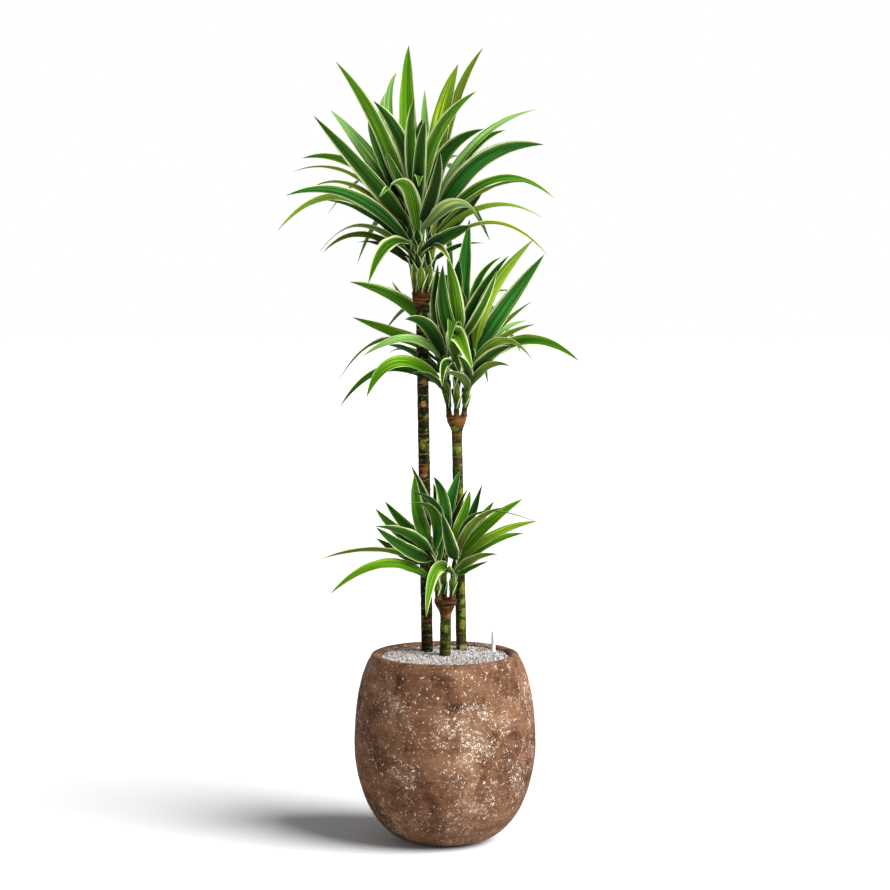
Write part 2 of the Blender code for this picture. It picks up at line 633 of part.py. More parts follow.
def leaf_rings(leaf, first=0.0, swell=0.0):
    """Four points round the blade at each step: its two edges and both faces of its midrib."""
    rings = []
    for k in range(LEAF_SEGMENTS + 1):
        t = first + (1 - first) * k / LEAF_SEGMENTS
        centre, _, side, normal = leaf_axes(leaf, t)
        half_width = leaf_half_width(leaf["width"], t) + swell
        keel = centre - normal * LEAF_FOLD * min(1.0, 5 * t) * half_width
        half_thickness = LEAF_THICKNESS / 2 * (1 - 0.6 * t) + swell
        if k == LEAF_SEGMENTS and swell == 0.0:
            rings.append([centre])
        else:
            rings.append([centre - side * half_width, keel + normal * half_thickness,
                          centre + side * half_width, keel - normal * half_thickness])
    return rings


def polygons(rings):
    """Vertices and faces of a loft, in the form that a BVH tree takes."""
    bm = loft(rings)
    bm.verts.index_update()
    vertices = [vertex.co.copy() for vertex in bm.verts]
    faces = [[vertex.index for vertex in face.verts] for face in bm.faces]
    bm.free()
    return vertices, faces


def tree(lofts):
    """One BVH tree over several lofts."""
    vertices, faces = [], []
    for rings in lofts:
        more_vertices, more_faces = polygons(rings)
        faces += [[index + len(vertices) for index in face] for face in more_faces]
        vertices += more_vertices
    return BVHTree.FromPolygons(vertices, faces)


def leaf_foot(shoot, height, towards):
    """Where a leaf leaves the wall of its sheath, on the side that it heads for."""
    share = stem_share(shoot, height)
    axis = stem_point(shoot, share)
    out = Vector((towards.x - axis.x, towards.y - axis.y, 0.0)).normalized()
    return axis + out * (stem_radius(share) + GAP + SHEATH_WALL / 3)


def front_leaf(shoot, row, depth_shift=0.0, bow=0.0):
    """A leaf from its row. The shifts move it in depth, which the elevation doesn't show."""
    base_height, middle, tip, tip_depth, width, facing = row
    depth = tip_depth * CM + depth_shift
    stem_depth = stem_point(shoot, stem_share(shoot, base_height * CM)).y
    middle_depth = stem_depth + MIDDLE_DEPTH_SHARE * (depth - stem_depth) + bow
    middle = on_sight_line(middle[0] * CM, middle[1] * CM, middle_depth)
    tip = on_sight_line(tip[0] * CM, tip[1] * CM, depth)
    foot = leaf_foot(shoot, base_height * CM, middle)
    return {"points": (foot, middle, tip), "width": width * CM, "facing": facing / 100}


def back_leaf(shoot, index, turn=0.0, lift=0.0):
    """The leaf of this index in a shoot's fan: low ones arch over, high ones stand."""
    count, azimuth, fan, lowest = BACK_LEAVES[shoot]
    cane = shoot.split("_")[0]
    rank = (index + 0.5) / count
    spread = 2 * ((index + 1) * GOLDEN % 1.0) - 1
    fan *= BACK_LOW_FAN + (1 - BACK_LOW_FAN) * rank
    heading = math.radians(azimuth + fan * spread + turn)
    rise = math.radians(lowest + BACK_RISE_SPAN * rank + lift)
    length = BACK_LENGTH[cane] * (1 - BACK_LENGTH_SWING + BACK_LENGTH_SWING * math.sin(5 * rank))
    low = stem_point(shoot, 0.0).z + BARE_STEM[cane] + BACK_LOWEST
    high = stem_point(shoot, BACK_HIGHEST).z
    out = Vector((math.cos(heading), math.sin(heading), 0.0))
    height = low + rank * (high - low)
    base = leaf_foot(shoot, height, stem_point(shoot, stem_share(shoot, height)) + out)
    droop = math.radians(BACK_DROOP)
    upwards = out * math.cos(rise + droop) + Vector((0, 0, math.sin(rise + droop)))
    onwards = out * math.cos(rise - droop) + Vector((0, 0, math.sin(rise - droop)))
    middle = base + BACK_MIDDLE * length * upwards
    tip = base + length * onwards
    return {"points": (base, middle, tip), "width": BACK_WIDTH, "facing": 0.0}


def choices(shoot, kind, entry):
    """The leaf as laid out, then the same leaf moved further and further aside."""
    if kind == "front":
        shifts = [(depth * 0.02, bow * 0.012) for depth in range(-7, 8) for bow in range(-4, 5)]
        make = front_leaf
    else:
        shifts = [(turn * 6.0, lift * 5.0) for turn in range(-6, 7) for lift in range(-3, 4)]
        make = back_leaf
    for first, second in sorted(shifts, key=lambda pair: abs(pair[0]) + abs(pair[1])):
        yield make(shoot, entry, first, second)


def place_leaves():
    """Give every leaf a place clear of the other shoots and, if it can, of its own rosette."""
    canes = tree([[circle(cane_point(cane, z), CANES[cane][3], CANE_SIDES)
                   for z in (GRAVEL_TOP, CANES[cane][1].z)] for cane in CANES])
    stems = {shoot: tree([stem_rings(shoot, 0.0, 1.0, 0.001), sheath_rings(shoot)]) for shoot in SHOOTS}
    placed = {shoot: [] for shoot in SHOOTS}
    blades = {}
    free_parts = {}
    entries = [(shoot, "front", row) for shoot in SHOOTS for row in LEAVES[shoot]]
    entries += [(shoot, "back", index) for shoot in SHOOTS for index in range(BACK_LEAVES[shoot][0])]
    for shoot, kind, entry in entries:
        others = [stems[other] for other in SHOOTS if other != shoot] + [canes]
        others += [blades[other] for other in blades if other != shoot]
        second_best = None
        chosen = None
        for leaf in choices(shoot, kind, entry):
            probe = tree([leaf_rings(leaf, 0.0, LEAF_CLEARANCE)])
            if any(probe.overlap(other) for other in others):
                continue
            free = tree([leaf_rings(leaf, FREE_PART, LEAF_CLEARANCE)])
            if shoot not in free_parts or not free.overlap(free_parts[shoot]):
                chosen = leaf
                break
            second_best = second_best or leaf
        leaf = chosen or second_best
        if leaf is None:
            print("no room for", shoot, kind, entry)
            continue
        placed[shoot].append(leaf)
        blades[shoot] = tree([leaf_rings(other) for other in placed[shoot]])
        free_parts[shoot] = tree([leaf_rings(other, FREE_PART) for other in placed[shoot]])
    return placed


def build_leaves():
    """One rosette on each shoot: its leaves and their sheaths grow together as one body."""
    for shoot, leaves in place_leaves().items():
        rosette = add_object(f"{shoot}_leaves", loft(sheath_rings(shoot)))
        for leaf in leaves:
            combine(rosette, add_object("leaf", loft(leaf_rings(leaf))), "UNION", "MANIFOLD")
        combine(rosette, stem_solid("bore", shoot, GAP), "DIFFERENCE", "MANIFOLD")
        keep_outer_skin(rosette)
        add_material(rosette, (0.10, 0.24, 0.05), 0.45)


def build_all():
    remove_everything()
    build_pot()
    build_substrate()
    build_root_ball()
    build_gravel()
    build_gauge()
    build_canes()
    build_shoots()
    build_leaves()


build_all()
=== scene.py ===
"""The looks of the potted dracaena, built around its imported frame.

Metres, +Z up, the front faces -Y. The leaves are laid out by the same rules as the part's
source, so that each detailed blade lies where its solid does.
"""

import math
import random

import bmesh
import bpy
from mathutils import Matrix, Vector, noise
from mathutils.bvhtree import BVHTree


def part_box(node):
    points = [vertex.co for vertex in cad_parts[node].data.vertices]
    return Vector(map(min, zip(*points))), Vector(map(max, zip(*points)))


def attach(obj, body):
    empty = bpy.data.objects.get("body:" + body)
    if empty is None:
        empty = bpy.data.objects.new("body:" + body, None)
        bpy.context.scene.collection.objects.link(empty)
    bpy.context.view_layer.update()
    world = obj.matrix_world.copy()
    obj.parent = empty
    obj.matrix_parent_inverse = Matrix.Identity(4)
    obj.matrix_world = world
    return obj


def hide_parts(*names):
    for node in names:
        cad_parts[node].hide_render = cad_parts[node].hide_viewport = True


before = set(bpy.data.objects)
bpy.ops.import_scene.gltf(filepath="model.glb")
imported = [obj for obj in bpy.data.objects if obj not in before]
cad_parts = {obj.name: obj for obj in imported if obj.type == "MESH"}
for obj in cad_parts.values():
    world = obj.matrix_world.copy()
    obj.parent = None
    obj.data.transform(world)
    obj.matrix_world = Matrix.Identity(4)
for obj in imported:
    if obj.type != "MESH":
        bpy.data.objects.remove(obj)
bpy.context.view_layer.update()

CM = 0.01
GAP = 0.0003

# Pot and filling
POT_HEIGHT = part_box("pot")[1].z
POT_BASE_RADIUS = 0.055
POT_BELLY_RADIUS = 0.184
POT_BELLY_HEIGHT = 0.205
POT_LIP_RADIUS = 0.1405
POT_LIP_HALF_WIDTH = 0.0105
POT_LIP_ROUNDING = 0.0085
LIP_CENTRE_HEIGHT = POT_HEIGHT - POT_LIP_ROUNDING
WELL_RADIUS = 0.1300
GRAVEL_TOP = 0.3775
POT_VIEW_SIDES = 192
OUTER_LOWER_CURVE = ((POT_BASE_RADIUS, 0.0), (0.138, 0.0), (POT_BELLY_RADIUS, 0.1),
                     (POT_BELLY_RADIUS, POT_BELLY_HEIGHT))
OUTER_UPPER_CURVE = ((POT_BELLY_RADIUS, POT_BELLY_HEIGHT), (POT_BELLY_RADIUS, 0.27), (0.172, 0.345),
                     (POT_LIP_RADIUS + POT_LIP_HALF_WIDTH, LIP_CENTRE_HEIGHT))
INNER_UPPER_CURVE = ((0.171, POT_BELLY_HEIGHT), (0.171, 0.265), (0.156, 0.335),
                     (POT_LIP_RADIUS - POT_LIP_HALF_WIDTH, LIP_CENTRE_HEIGHT))

# Gravel
GRAIN_COUNT = 4500
GRAIN_SIZE = 0.0021
GRAIN_SCATTER = 0.0006
GRAVEL_CROWN = 0.0015
GOLDEN_ANGLE = 2.399963

# Water gauge
GAUGE_PLACE = Vector((0.099, 0.063, 0.0))
GAUGE_RADIUS = 0.0042
GAUGE_BORE = 0.0026
GAUGE_CAP_BOTTOM = 0.393
GAUGE_TOP = 0.4185

# Canes: foot and top centre (x, y, z), shaft radius and knob radius at the top
CANES = {
    "tall": (Vector((-0.0365, 0.058, GRAVEL_TOP)), Vector((-0.0475, 0.050, 1.108)), 0.0117, 0.0190),
    "middle": (Vector((0.0336, 0.074, GRAVEL_TOP)), Vector((0.0235, 0.066, 0.859)), 0.0106, 0.0200),
    "short": (Vector((0.0006, 0.006, GRAVEL_TOP)), Vector((0.0015, 0.004, 0.494)), 0.0111, 0.0225),
}
CANE_SIDES = 14
KNOB_HEIGHT = 0.035
CANE_VIEW_SIDES = 44
CANE_STEP = 0.0013
BARK_BOTTOM = 0.362

# Shoots: foot, middle and top of the stem's curve in centimetres
SHOOTS = {
    "tall_left": ((-5.95, 5.6, 110.8), (-6.5, 5.9, 120.0), (-8.0, 6.3, 131.0)),
    "tall_centre": ((-4.7, 3.8, 110.8), (-5.2, 3.2, 120.0), (-5.8, 2.6, 131.0)),
    "tall_right": ((-3.5, 5.8, 110.8), (-3.0, 6.3, 120.0), (-2.6, 6.8, 130.0)),
    "middle_left": ((0.9, 7.1, 85.9), (0.1, 7.3, 94.0), (-0.6, 7.5, 104.0)),
    "middle_centre": ((2.35, 5.3, 85.9), (2.4, 4.8, 94.0), (2.6, 4.2, 104.0)),
    "middle_right": ((3.8, 7.0, 85.9), (4.7, 7.0, 92.5), (6.1, 6.6, 101.0)),
    "short_left": ((-1.35, -0.5, 49.4), (-1.9, -0.9, 54.5), (-2.7, -1.4, 61.5)),
    "short_centre": ((-0.2, 1.7, 49.4), (-0.3, 2.1, 54.5), (-0.5, 2.6, 62.0)),
    "short_right": ((1.4, -0.1, 49.4), (1.8, -0.2, 54.5), (2.7, -0.4, 61.0)),
}
SHOOT_FOOT_RADIUS = 0.0056
SHOOT_TOP_RADIUS = 0.0034
SHOOT_SIDES = 8
SHOOT_RINGS = 5
BARE_STEM = {"tall": 0.030, "middle": 0.030, "short": 0.016}
SHEATH_WALL = 0.0012
SHEATH_CAP = 0.010
STEM_VIEW_SIDES = 20
STEM_VIEW_RINGS = 64
STEM_VIEW_SHARE = 0.94
STEM_ROOTING = 0.0012
SLEEVE_SIDES = 24
SLEEVE_RINGS = 24
SLEEVE_WALL = 0.0006
SLEEVE_FOLDS = 0.0004
SLEEVE_HANG = 0.004

# Leaves: the blade's outline widens from LEAF_FOOT_SHARE of its width and then runs out to a point
LEAF_THICKNESS = 0.0012
LEAF_FOLD = 0.30
LEAF_FOOT_SHARE = 0.44
LEAF_WIDENING = 2.2
LEAF_POINT_POWER = 3.2
LEAF_POINT_SHARPNESS = 0.9
MIDDLE_DEPTH_SHARE = 0.58
LEAF_SEGMENTS = 5
LEAF_CLEARANCE = 0.0011
FREE_PART = 0.34

# The crowns are laid out on the front elevation (plane y = 0), as an eye at VIEWPOINT sees them.
VIEWPOINT = Vector((0.0, -5.933, 1.428))

# One row a leaf: base height, x and z halfway, x and z at the tip, tip depth y and width, all in
# centimetres, then how far the blade turns from lying level to facing the eye, in percent.
LEAVES = {
    "tall_left": (
        (129, -13.4, 144.6, -21.6, 157.1, -4, 3.3, 69), (124.5, -15.7, 134.8, -26.1, 146.5, -9, 3.6, 83),
        (127.5, -15.2, 138.8, -22.6, 147.5, 19, 3.4, 76), (125, -17.5, 136.4, -28.4, 138.1, 15, 2.6, 48),
        (123.5, -18.5, 134.9, -30.3, 135.4, 8, 2, 37), (122.5, -17.6, 132.4, -26.9, 132.1, 12, 2, 34),
        (121, -18.8, 130.9, -31.7, 130.7, -8, 3, 59), (120, -20.6, 130.4, -33.3, 123.8, 2, 2.6, 40),
        (119.5, -15.5, 127.2, -24.2, 129.8, 6, 2.4, 37), (118.5, -16.7, 124.8, -25, 119.4, -4, 2.2, 34),
        (117.5, -16.3, 123, -24.3, 119.4, 8, 2.4, 37), (116.5, -12.5, 120.9, -17.6, 121.3, 14, 1.8, 31),
        (129.5, -11.2, 146, -9.6, 155, 16, 2.2, 90), (128.5, -12.2, 142.5, -11.8, 151, 20, 2.2, 90),
        (128, -13.2, 139, -15.2, 146, 14, 2, 48),
    ),
    "tall_centre": (
        (130, -7.5, 147, -7.2, 160.3, 3, 3.8, 90), (129, -8.4, 141, -14.2, 149.4, -10, 3.2, 62),
        (128.5, -6.9, 141, -6.1, 149.8, -12, 2.6, 90), (127.5, -1.9, 142.3, 6.2, 151.3, -8, 3, 69),
        (126, -4.9, 138.5, -3.9, 145.4, -16, 2.8, 90), (122, -7.9, 132.9, -13.2, 130.2, -12, 3.4, 34),
        (124, -2.2, 131.9, -1.1, 139.4, -13, 2.8, 34), (120.5, -11.2, 121.2, -15.3, 113.2, -13, 3.6, 31),
        (123, 2.7, 129.3, 8, 123.2, -13, 3.4, 48), (118, -1.9, 120.9, 1.2, 117.2, -8, 2.2, 34),
        (119.5, 0.9, 122.9, 5, 124.6, -10, 3, 59), (127, -9.4, 134.5, -11.8, 139.5, -14, 2, 34),
    ),
    "tall_right": (
        (128, -1.2, 144, 2.6, 156.6, 8, 4.4, 90), (129, 1.4, 147.5, 7.5, 159.8, 14, 2.4, 76),
        (128.5, -3.9, 141, -4, 151.6, 18, 2.4, 90), (127, 5.9, 141.2, 18, 147.7, 13, 2.4, 45),
        (127.5, -0.4, 138.4, 7.7, 143.9, -2, 3.4, 76), (126, 4.4, 138.8, 12, 143.6, 17, 2.8, 69),
        (124.5, 6.8, 137.5, 19.6, 140.8, -6, 3.8, 87), (123.5, 9.8, 133.9, 21.6, 130.3, 9, 2.8, 42),
        (122.5, 7.5, 131.6, 17, 133.2, 4, 2, 34), (121.5, 8.6, 128.7, 19.3, 126.3, 13, 2.4, 34),
        (119.5, 9.5, 125.4, 20.6, 118.7, 2, 2.2, 31), (120.5, 2.5, 126.6, 7.5, 131.4, 15, 3.6, 76),
        (117, 2.3, 120.6, 7.7, 121.2, 15, 1.8, 31),
    ),
    "middle_left": (
        (100.5, -8, 109.4, -19, 113.5, -1, 3.2, 73), (99, -8.8, 102.9, -18.5, 106.4, 16, 2.8, 68),
        (98, -3.7, 104.9, -8, 106, -8, 3.2, 41), (97, -7.2, 102.2, -16.5, 98.6, -4, 2.8, 48),
        (96, -12.3, 102, -22.3, 92, 9, 2.2, 34), (94, -6.6, 99.5, -11.3, 100.8, 3, 2.2, 40),
        (94.5, -6.8, 99.9, -11.7, 98.8, 15, 2, 31), (93, -9.6, 97.6, -15.7, 90.4, -5, 3.2, 54),
        (91.5, -11.5, 96.2, -21.1, 88.4, 8, 2.6, 45), (90.5, -3.9, 95.1, -8.8, 94.2, -3, 1.8, 31),
        (101.5, -1.8, 108, -1.4, 117, 15, 3, 90), (102, -6.2, 107.6, -10.6, 113.6, 18, 1.8, 48),
    ),
    "middle_centre": (
        (103, 3.5, 113.6, 4.9, 126, 12, 3.6, 90), (102, 2.2, 109.8, 0.4, 118.9, -3, 3.2, 90),
        (101, -0.1, 108.2, -0.4, 116.9, -5, 3, 90), (102.5, 7.1, 111.5, 12.7, 118.7, 6, 2.4, 76),
        (101, 7.2, 108.2, 10.4, 115.8, -2, 2.2, 55), (97.5, 1.6, 101.8, 0.4, 107.6, 5, 3, 90),
        (95, 0.1, 97.2, -0.6, 92.4, -9, 2, 90), (97, 2.3, 103.1, 5.7, 95.6, -9, 3.8, 90),
    ),
    "middle_right": (
        (100, 9, 111, 17.6, 121.9, 2, 3, 90), (99, 12, 108.6, 19.8, 118.9, 5, 3.8, 97),
        (99.5, 5.9, 111.8, 11.1, 118.4, 18, 2.2, 34), (99.8, 7.7, 104.6, 9.4, 110.9, 14, 2.4, 34),
        (98, 11.5, 105, 17.3, 109.5, 15, 1.8, 37), (97.5, 11, 103.6, 16.3, 105.7, 20, 1.8, 31),
        (97, 11.3, 102.4, 17.9, 105, 11, 2, 34), (96, 11.6, 101.8, 17.9, 97.4, -6, 2.6, 45),
        (95, 15.9, 101.9, 26.9, 97.6, 3, 3.2, 55), (93.8, 9, 98.7, 13.4, 100.7, -6, 2.8, 62),
        (95.5, 12, 101.6, 16.6, 99.6, 13, 2, 31), (91.5, 8.5, 96.6, 12.9, 96.6, -1, 2.2, 40),
        (91, 3.2, 94.6, -1.4, 95.4, -5, 2, 40), (92.5, 4.4, 96.2, 2.5, 98.8, -3.5, 2.2, 90),
    ),
    "short_left": (
        (60, -5.4, 67, -6.1, 74.8, 1, 3, 90), (60.5, -7.3, 63.8, -12.1, 69.3, 8, 2.8, 62),
        (59.5, -8.6, 62.6, -14, 67.8, 14, 2.8, 55), (59, -7.6, 62.9, -14.2, 64.2, -9, 2.8, 56),
        (57.5, -8, 59.7, -13.9, 64, -4, 3, 68), (56.5, -8.2, 58.6, -13.9, 61.8, 10, 2.6, 48),
        (56, -13, 59.5, -24.9, 57.6, 5, 2, 31), (54, -7.5, 56.2, -12.6, 57.4, 1, 1.8, 31),
        (53, -12.3, 56.7, -23.2, 50.4, -6, 2.8, 51),
    ),
    "short_centre": (
        (61, -3.2, 68.4, -6.8, 76.6, 6, 2.8, 48), (60, -1.1, 66, -2.3, 73, 10, 2.4, 90),
        (61.2, 0.7, 68, 3.1, 75.6, 8, 3, 90), (59.5, 1.9, 66.4, 4.7, 72, 3, 2, 37),
        (58, 3.4, 65.6, 5, 71.4, 11, 2.4, 90),
    ),
    "short_right": (
        (60, 5, 65.4, 7.5, 72.8, 2, 3, 34), (59.5, 6.2, 64.5, 9.9, 69.3, 9, 2.6, 54),
        (58.5, 5.5, 64.6, 11.6, 68, -6, 2.2, 48), (58, 8.7, 64.8, 15.6, 69.7, -2, 2.6, 65),
        (57, 9.9, 62.6, 18.5, 65.2, 1, 2.4, 51), (56, 8.8, 60.9, 15.9, 62.8, 7, 2.6, 51),
        (55, 6.3, 57.9, 10.7, 58.5, -7, 2.4, 45), (54, 5.2, 55.8, 8.8, 57.1, 5, 1.8, 37),
        (57.5, 1, 61, -0.6, 67, -10, 2.8, 90), (54.5, -1.9, 55, -3.8, 45.6, -9, 2.6, 90),
    ),
}

# Leaves spread by rule, mostly over the back of each crown: how many, the middle of their azimuths
# in degrees (0 is +X, 90 is the back), how far the highest fan to either side and how steep the
# lowest is. The lowest fan by BACK_LOW_FAN of that, and the highest is BACK_RISE_SPAN degrees
# steeper. BACK_LOWEST and BACK_HIGHEST say where they grow: metres above the sheath's foot, and
# share of the stem.
BACK_LEAVES = {
    "tall_left": (5, 112, 34, 16),
    "tall_centre": (3, 266, 34, 46),
    "tall_right": (6, 76, 36, 14),
    "middle_left": (5, 104, 32, 20),
    "middle_centre": (3, 262, 34, 46),
    "middle_right": (5, 76, 34, 16),
    "short_left": (2, 244, 16, 58),
    "short_centre": (3, 92, 44, 40),
    "short_right": (1, 336, 20, 24),
}
BACK_LENGTH = {"tall": 0.30, "middle": 0.27, "short": 0.22}
BACK_WIDTH = 0.029
BACK_LENGTH_SWING = 0.15
BACK_RISE_SPAN = 48
BACK_DROOP = 22
BACK_LOWEST = 0.012
BACK_HIGHEST = 0.94
BACK_MIDDLE = 0.56
BACK_LOW_FAN = 0.4
GOLDEN = 0.618034

# The finer leaves: how each laid-out leaf looks, in the order of its rows: a letter for its
# colour, then where its pale margin is broad: "(" left edge, ")" right edge, "=" both, "." neither.
LOOKS = {
    "tall_left": "B= D( P. M. O. O. G= L. D. O. O. O. P. P. D.",
    "tall_centre": "B. D) M( B( D) B= K. M= W= O= D. M.",
    "tall_right": "L. O. P. P. D( D= G( M. O. L. O= K. D.",
    "middle_left": "M) B. D. P. O= D. P. B. M. D. D= O.",
    "middle_centre": "G. B) D. D= M= D. D= B=",
    "middle_right": "L. G( D= K. O. P. O. L= M) D= O. O. O. D=",
    "short_left": "M. D. M. M) D. O. O= D. B.",
    "short_centre": "D) D. G. D. B.",
    "short_right": "G. M. O. B. L. M. O. D. D) B(",
}
BACK_LOOKS = "M. G. D. B= M) D. O."
ACROSS = 10
BLADE_RINGS = 34
CLASP_RINGS = 6
CLASP_LENGTH = 0.015
CLASP_WALL = 0.0005
BLADE_THICKNESS = 0.0008
LEAVES_PER_PIECE = 7
STUDIO_LIGHT = 2.0

# Short leaf bases that clothe each shoot below its crown: how many, how far below the foot of the
# sheath they start, their length and how far their points stand off the stem
BRACTS = {"tall": (26, 0.026, 0.046, 0.0095), "middle": (16, 0.012, 0.036, 0.0065),
          "short": (10, 0.008, 0.026, 0.0045)}
BRACT_RINGS = 12
BRACT_COLOURS = "DKOK"


def rgb(red, green, blue):
    """The surface's own colour for a colour as the studio's bright light shows it, in 0 to 255 steps."""
    return tuple((((c / 255 + 0.055) / 1.055) ** 2.4 if c > 10 else c / 255 / 12.92) / STUDIO_LIGHT
                 for c in (red, green, blue))


# The dark greens D and K are partly the leaves' own dark green and partly painted shade, given to leaves that
# lie in shade deep in the crowns.
LEAF_COLOURS = {
    "B": rgb(98, 158, 26),
    "L": rgb(142, 186, 48),
    "M": rgb(66, 124, 24),
    "D": rgb(38, 90, 20),
    "K": rgb(20, 56, 12),
    "O": rgb(108, 134, 38),
    "P": rgb(140, 196, 108),
    "G": rgb(46, 120, 44),
    "W": rgb(186, 224, 140),
}


# Shapes

def smoothstep(low, high, value):
    share = min(1.0, max(0.0, (value - low) / (high - low)))
    return share * share * (3 - 2 * share)


def loft(rings):
    """Join rings of points into a closed skin. A ring of one point makes a pointed end."""
    bm = bmesh.new()
    rows = [[bm.verts.new(point) for point in ring] for ring in rings]
    for lower, upper in zip(rows, rows[1:]):
        count = max(len(lower), len(upper))
        for i in range(count):
            j = (i + 1) % count
            if len(lower) == 1:
                bm.faces.new((lower[0], upper[j], upper[i]))
            elif len(upper) == 1:
                bm.faces.new((lower[i], lower[j], upper[0]))
            else:
                bm.faces.new((lower[i], lower[j], upper[j], upper[i]))
    for end in (rows[0], rows[-1]):
        if len(end) > 2:
            bm.faces.new(end)
    return bm


def circle(centre, radius, sides):
    """A level ring of points."""
    if radius == 0.0:
        return [Vector(centre)]
    turn = 2 * math.pi / sides
    return [Vector(centre) + Vector((radius * math.cos(k * turn), radius * math.sin(k * turn), 0.0))
            for k in range(sides)]


def bezier(points, t):
    """A point on the Bezier curve with these control points."""
    points = [Vector(point) for point in points]
    while len(points) > 1:
        points = [a.lerp(b, t) for a, b in zip(points, points[1:])]
    return points[0]


def add_piece(name, vertices, faces, material, slot, *nodes, crease=50):
    """A finished piece of the plant: it rides on the one body and stands for its CAD nodes."""
    mesh = bpy.data.meshes.new(name)
    mesh.from_pydata(vertices, [], faces)
    mesh.shade_smooth()
    mesh.set_sharp_from_angle(angle=math.radians(crease))
    piece = bpy.data.objects.new(name, mesh)
    bpy.context.scene.collection.objects.link(piece)
    piece.data.materials.append(material)
    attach(piece, "root")
    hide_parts(*nodes)
    return piece


def directions(sides):
    """Angles all the way round, each with the level direction that it points in."""
    angles = [math.tau * k / sides for k in range(sides)]
    return [(angle, Vector((math.cos(angle), math.sin(angle), 0.0))) for angle in angles]


def solid_of_rings(rings):
    """Vertices and faces of a closed skin over rings of equal length, with flat ends."""
    sides = len(rings[0])
    last = (len(rings) - 1) * sides
    vertices = [point for ring in rings for point in ring]
    faces = []
    for low in range(0, last, sides):
        for i in range(sides):
            j = (i + 1) % sides
            faces.append((low + i, low + j, low + sides + j, low + sides + i))
    faces.append(tuple(range(sides))[::-1])
    faces.append(tuple(range(last, last + sides)))
    return vertices, faces


# Node materials

def add(tree, kind, inputs=None, **settings):
    """A new shader node. An input is a constant or another node's socket."""
    node = tree.nodes.new("ShaderNode" + kind)
    for key, value in settings.items():
        setattr(node, key, value)
    for key, value in (inputs or {}).items():
        socket = node.inputs[key]
        if isinstance(value, bpy.types.NodeSocket):
            tree.links.new(value, socket)
        else:
            socket.default_value = value
    return node


def tree_of(*values):
    """The node tree that these values belong to, of which at least one is a socket."""
    return next(value.id_data for value in values if isinstance(value, bpy.types.NodeSocket))


def calc(operation, a, b=0.0):
    return add(tree_of(a, b), "Math", {0: a, 1: b}, operation=operation).outputs[0]


def plus(a, b):
    return calc("ADD", a, b)


def minus(a, b):
    return calc("SUBTRACT", a, b)


def times(a, b):
    return calc("MULTIPLY", a, b)


def weighted(*terms):
    """The sum of sockets, each times its weight."""
    total = times(*terms[0])
    for value, weight in terms[1:]:
        total = plus(total, times(value, weight))
    return total


def between(value, low, high):
    """0 below low, 1 above high, and a smooth rise from one to the other."""
    return add(value.id_data, "MapRange", {"Value": value, "From Min": low, "From Max": high},
               interpolation_type="SMOOTHSTEP").outputs["Result"]


def grain(place, scale, detail=3.0, roughness=0.55, distortion=0.0):
    return add(place.id_data, "TexNoise", {"Vector": place, "Scale": scale, "Detail": detail,
                                           "Roughness": roughness, "Distortion": distortion}).outputs["Fac"]


def stretched(place, x, y, z):
    return add(place.id_data, "VectorMath", {0: place, 1: (x, y, z)}, operation="MULTIPLY").outputs[0]


def ramp(factor, *stops):
    node = add(factor.id_data, "ValToRGB", {"Fac": factor})
    elements = node.color_ramp.elements
    while len(elements) < len(stops):
        elements.new(1.0)
    for element, (position, colour) in zip(elements, stops):
        element.position = position
        element.color = (*colour, 1.0)
    return node.outputs["Color"]


def blend(factor, a, b, kind="MIX"):
    """Two colours, each a socket or three numbers, mixed by a factor."""
    colours = [(*value, 1.0) if isinstance(value, tuple) else value for value in (a, b)]
    return add(tree_of(factor, a, b), "Mix", {0: factor, 6: colours[0], 7: colours[1]},
               data_type="RGBA", blend_type=kind).outputs[2]


def tinted(a, b):
    return blend(1.0, a, b, "MULTIPLY")


def material(name, roughness, specular=0.5):
    """A new material with its shader and the object's own coordinates."""
    made = bpy.data.materials.new(name)
    made.use_nodes = True
    tree = made.node_tree
    shader = tree.nodes["Principled BSDF"]
    shader.inputs["Roughness"].default_value = roughness
    shader.inputs["Specular IOR Level"].default_value = specular
    place = add(tree, "TexCoord").outputs["Object"]
    return made, shader, place


def paint(shader, colour, height=None, depth=0.0005, strength=0.6):
    """Give a shader its colour and, from a height, its bump."""
    tree = shader.id_data
    tree.links.new(colour, shader.inputs["Base Color"])
    if height is not None:
        bump = add(tree, "Bump", {"Height": height, "Distance": depth, "Strength": strength})
        tree.links.new(bump.outputs["Normal"], shader.inputs["Normal"])


def spot(place, centre, size):
    """1 at a point on the pot, falling to 0 at this distance from it."""
    away = add(place.id_data, "VectorMath", {0: place, 1: centre}, operation="DISTANCE").outputs["Value"]
    return between(away, size, 0.0)


# Where lime flecks gather on the pot: a point on its wall, how far they reach and how thick they are
CLUSTERS = (((0.052, -0.172, 0.262), 0.090, 0.34), ((0.066, -0.165, 0.205), 0.070, 0.20),
            ((0.062, -0.150, 0.100), 0.080, 0.24), ((-0.100, -0.148, 0.285), 0.080, 0.20),
            ((-0.085, -0.158, 0.160), 0.070, 0.20), ((0.162, -0.064, 0.300), 0.080, 0.26),
            ((0.145, -0.092, 0.140), 0.080, 0.22), ((0.150, 0.100, 0.160), 0.110, 0.22),
            ((-0.130, 0.125, 0.290), 0.100, 0.22), ((-0.020, 0.180, 0.170), 0.120, 0.22))


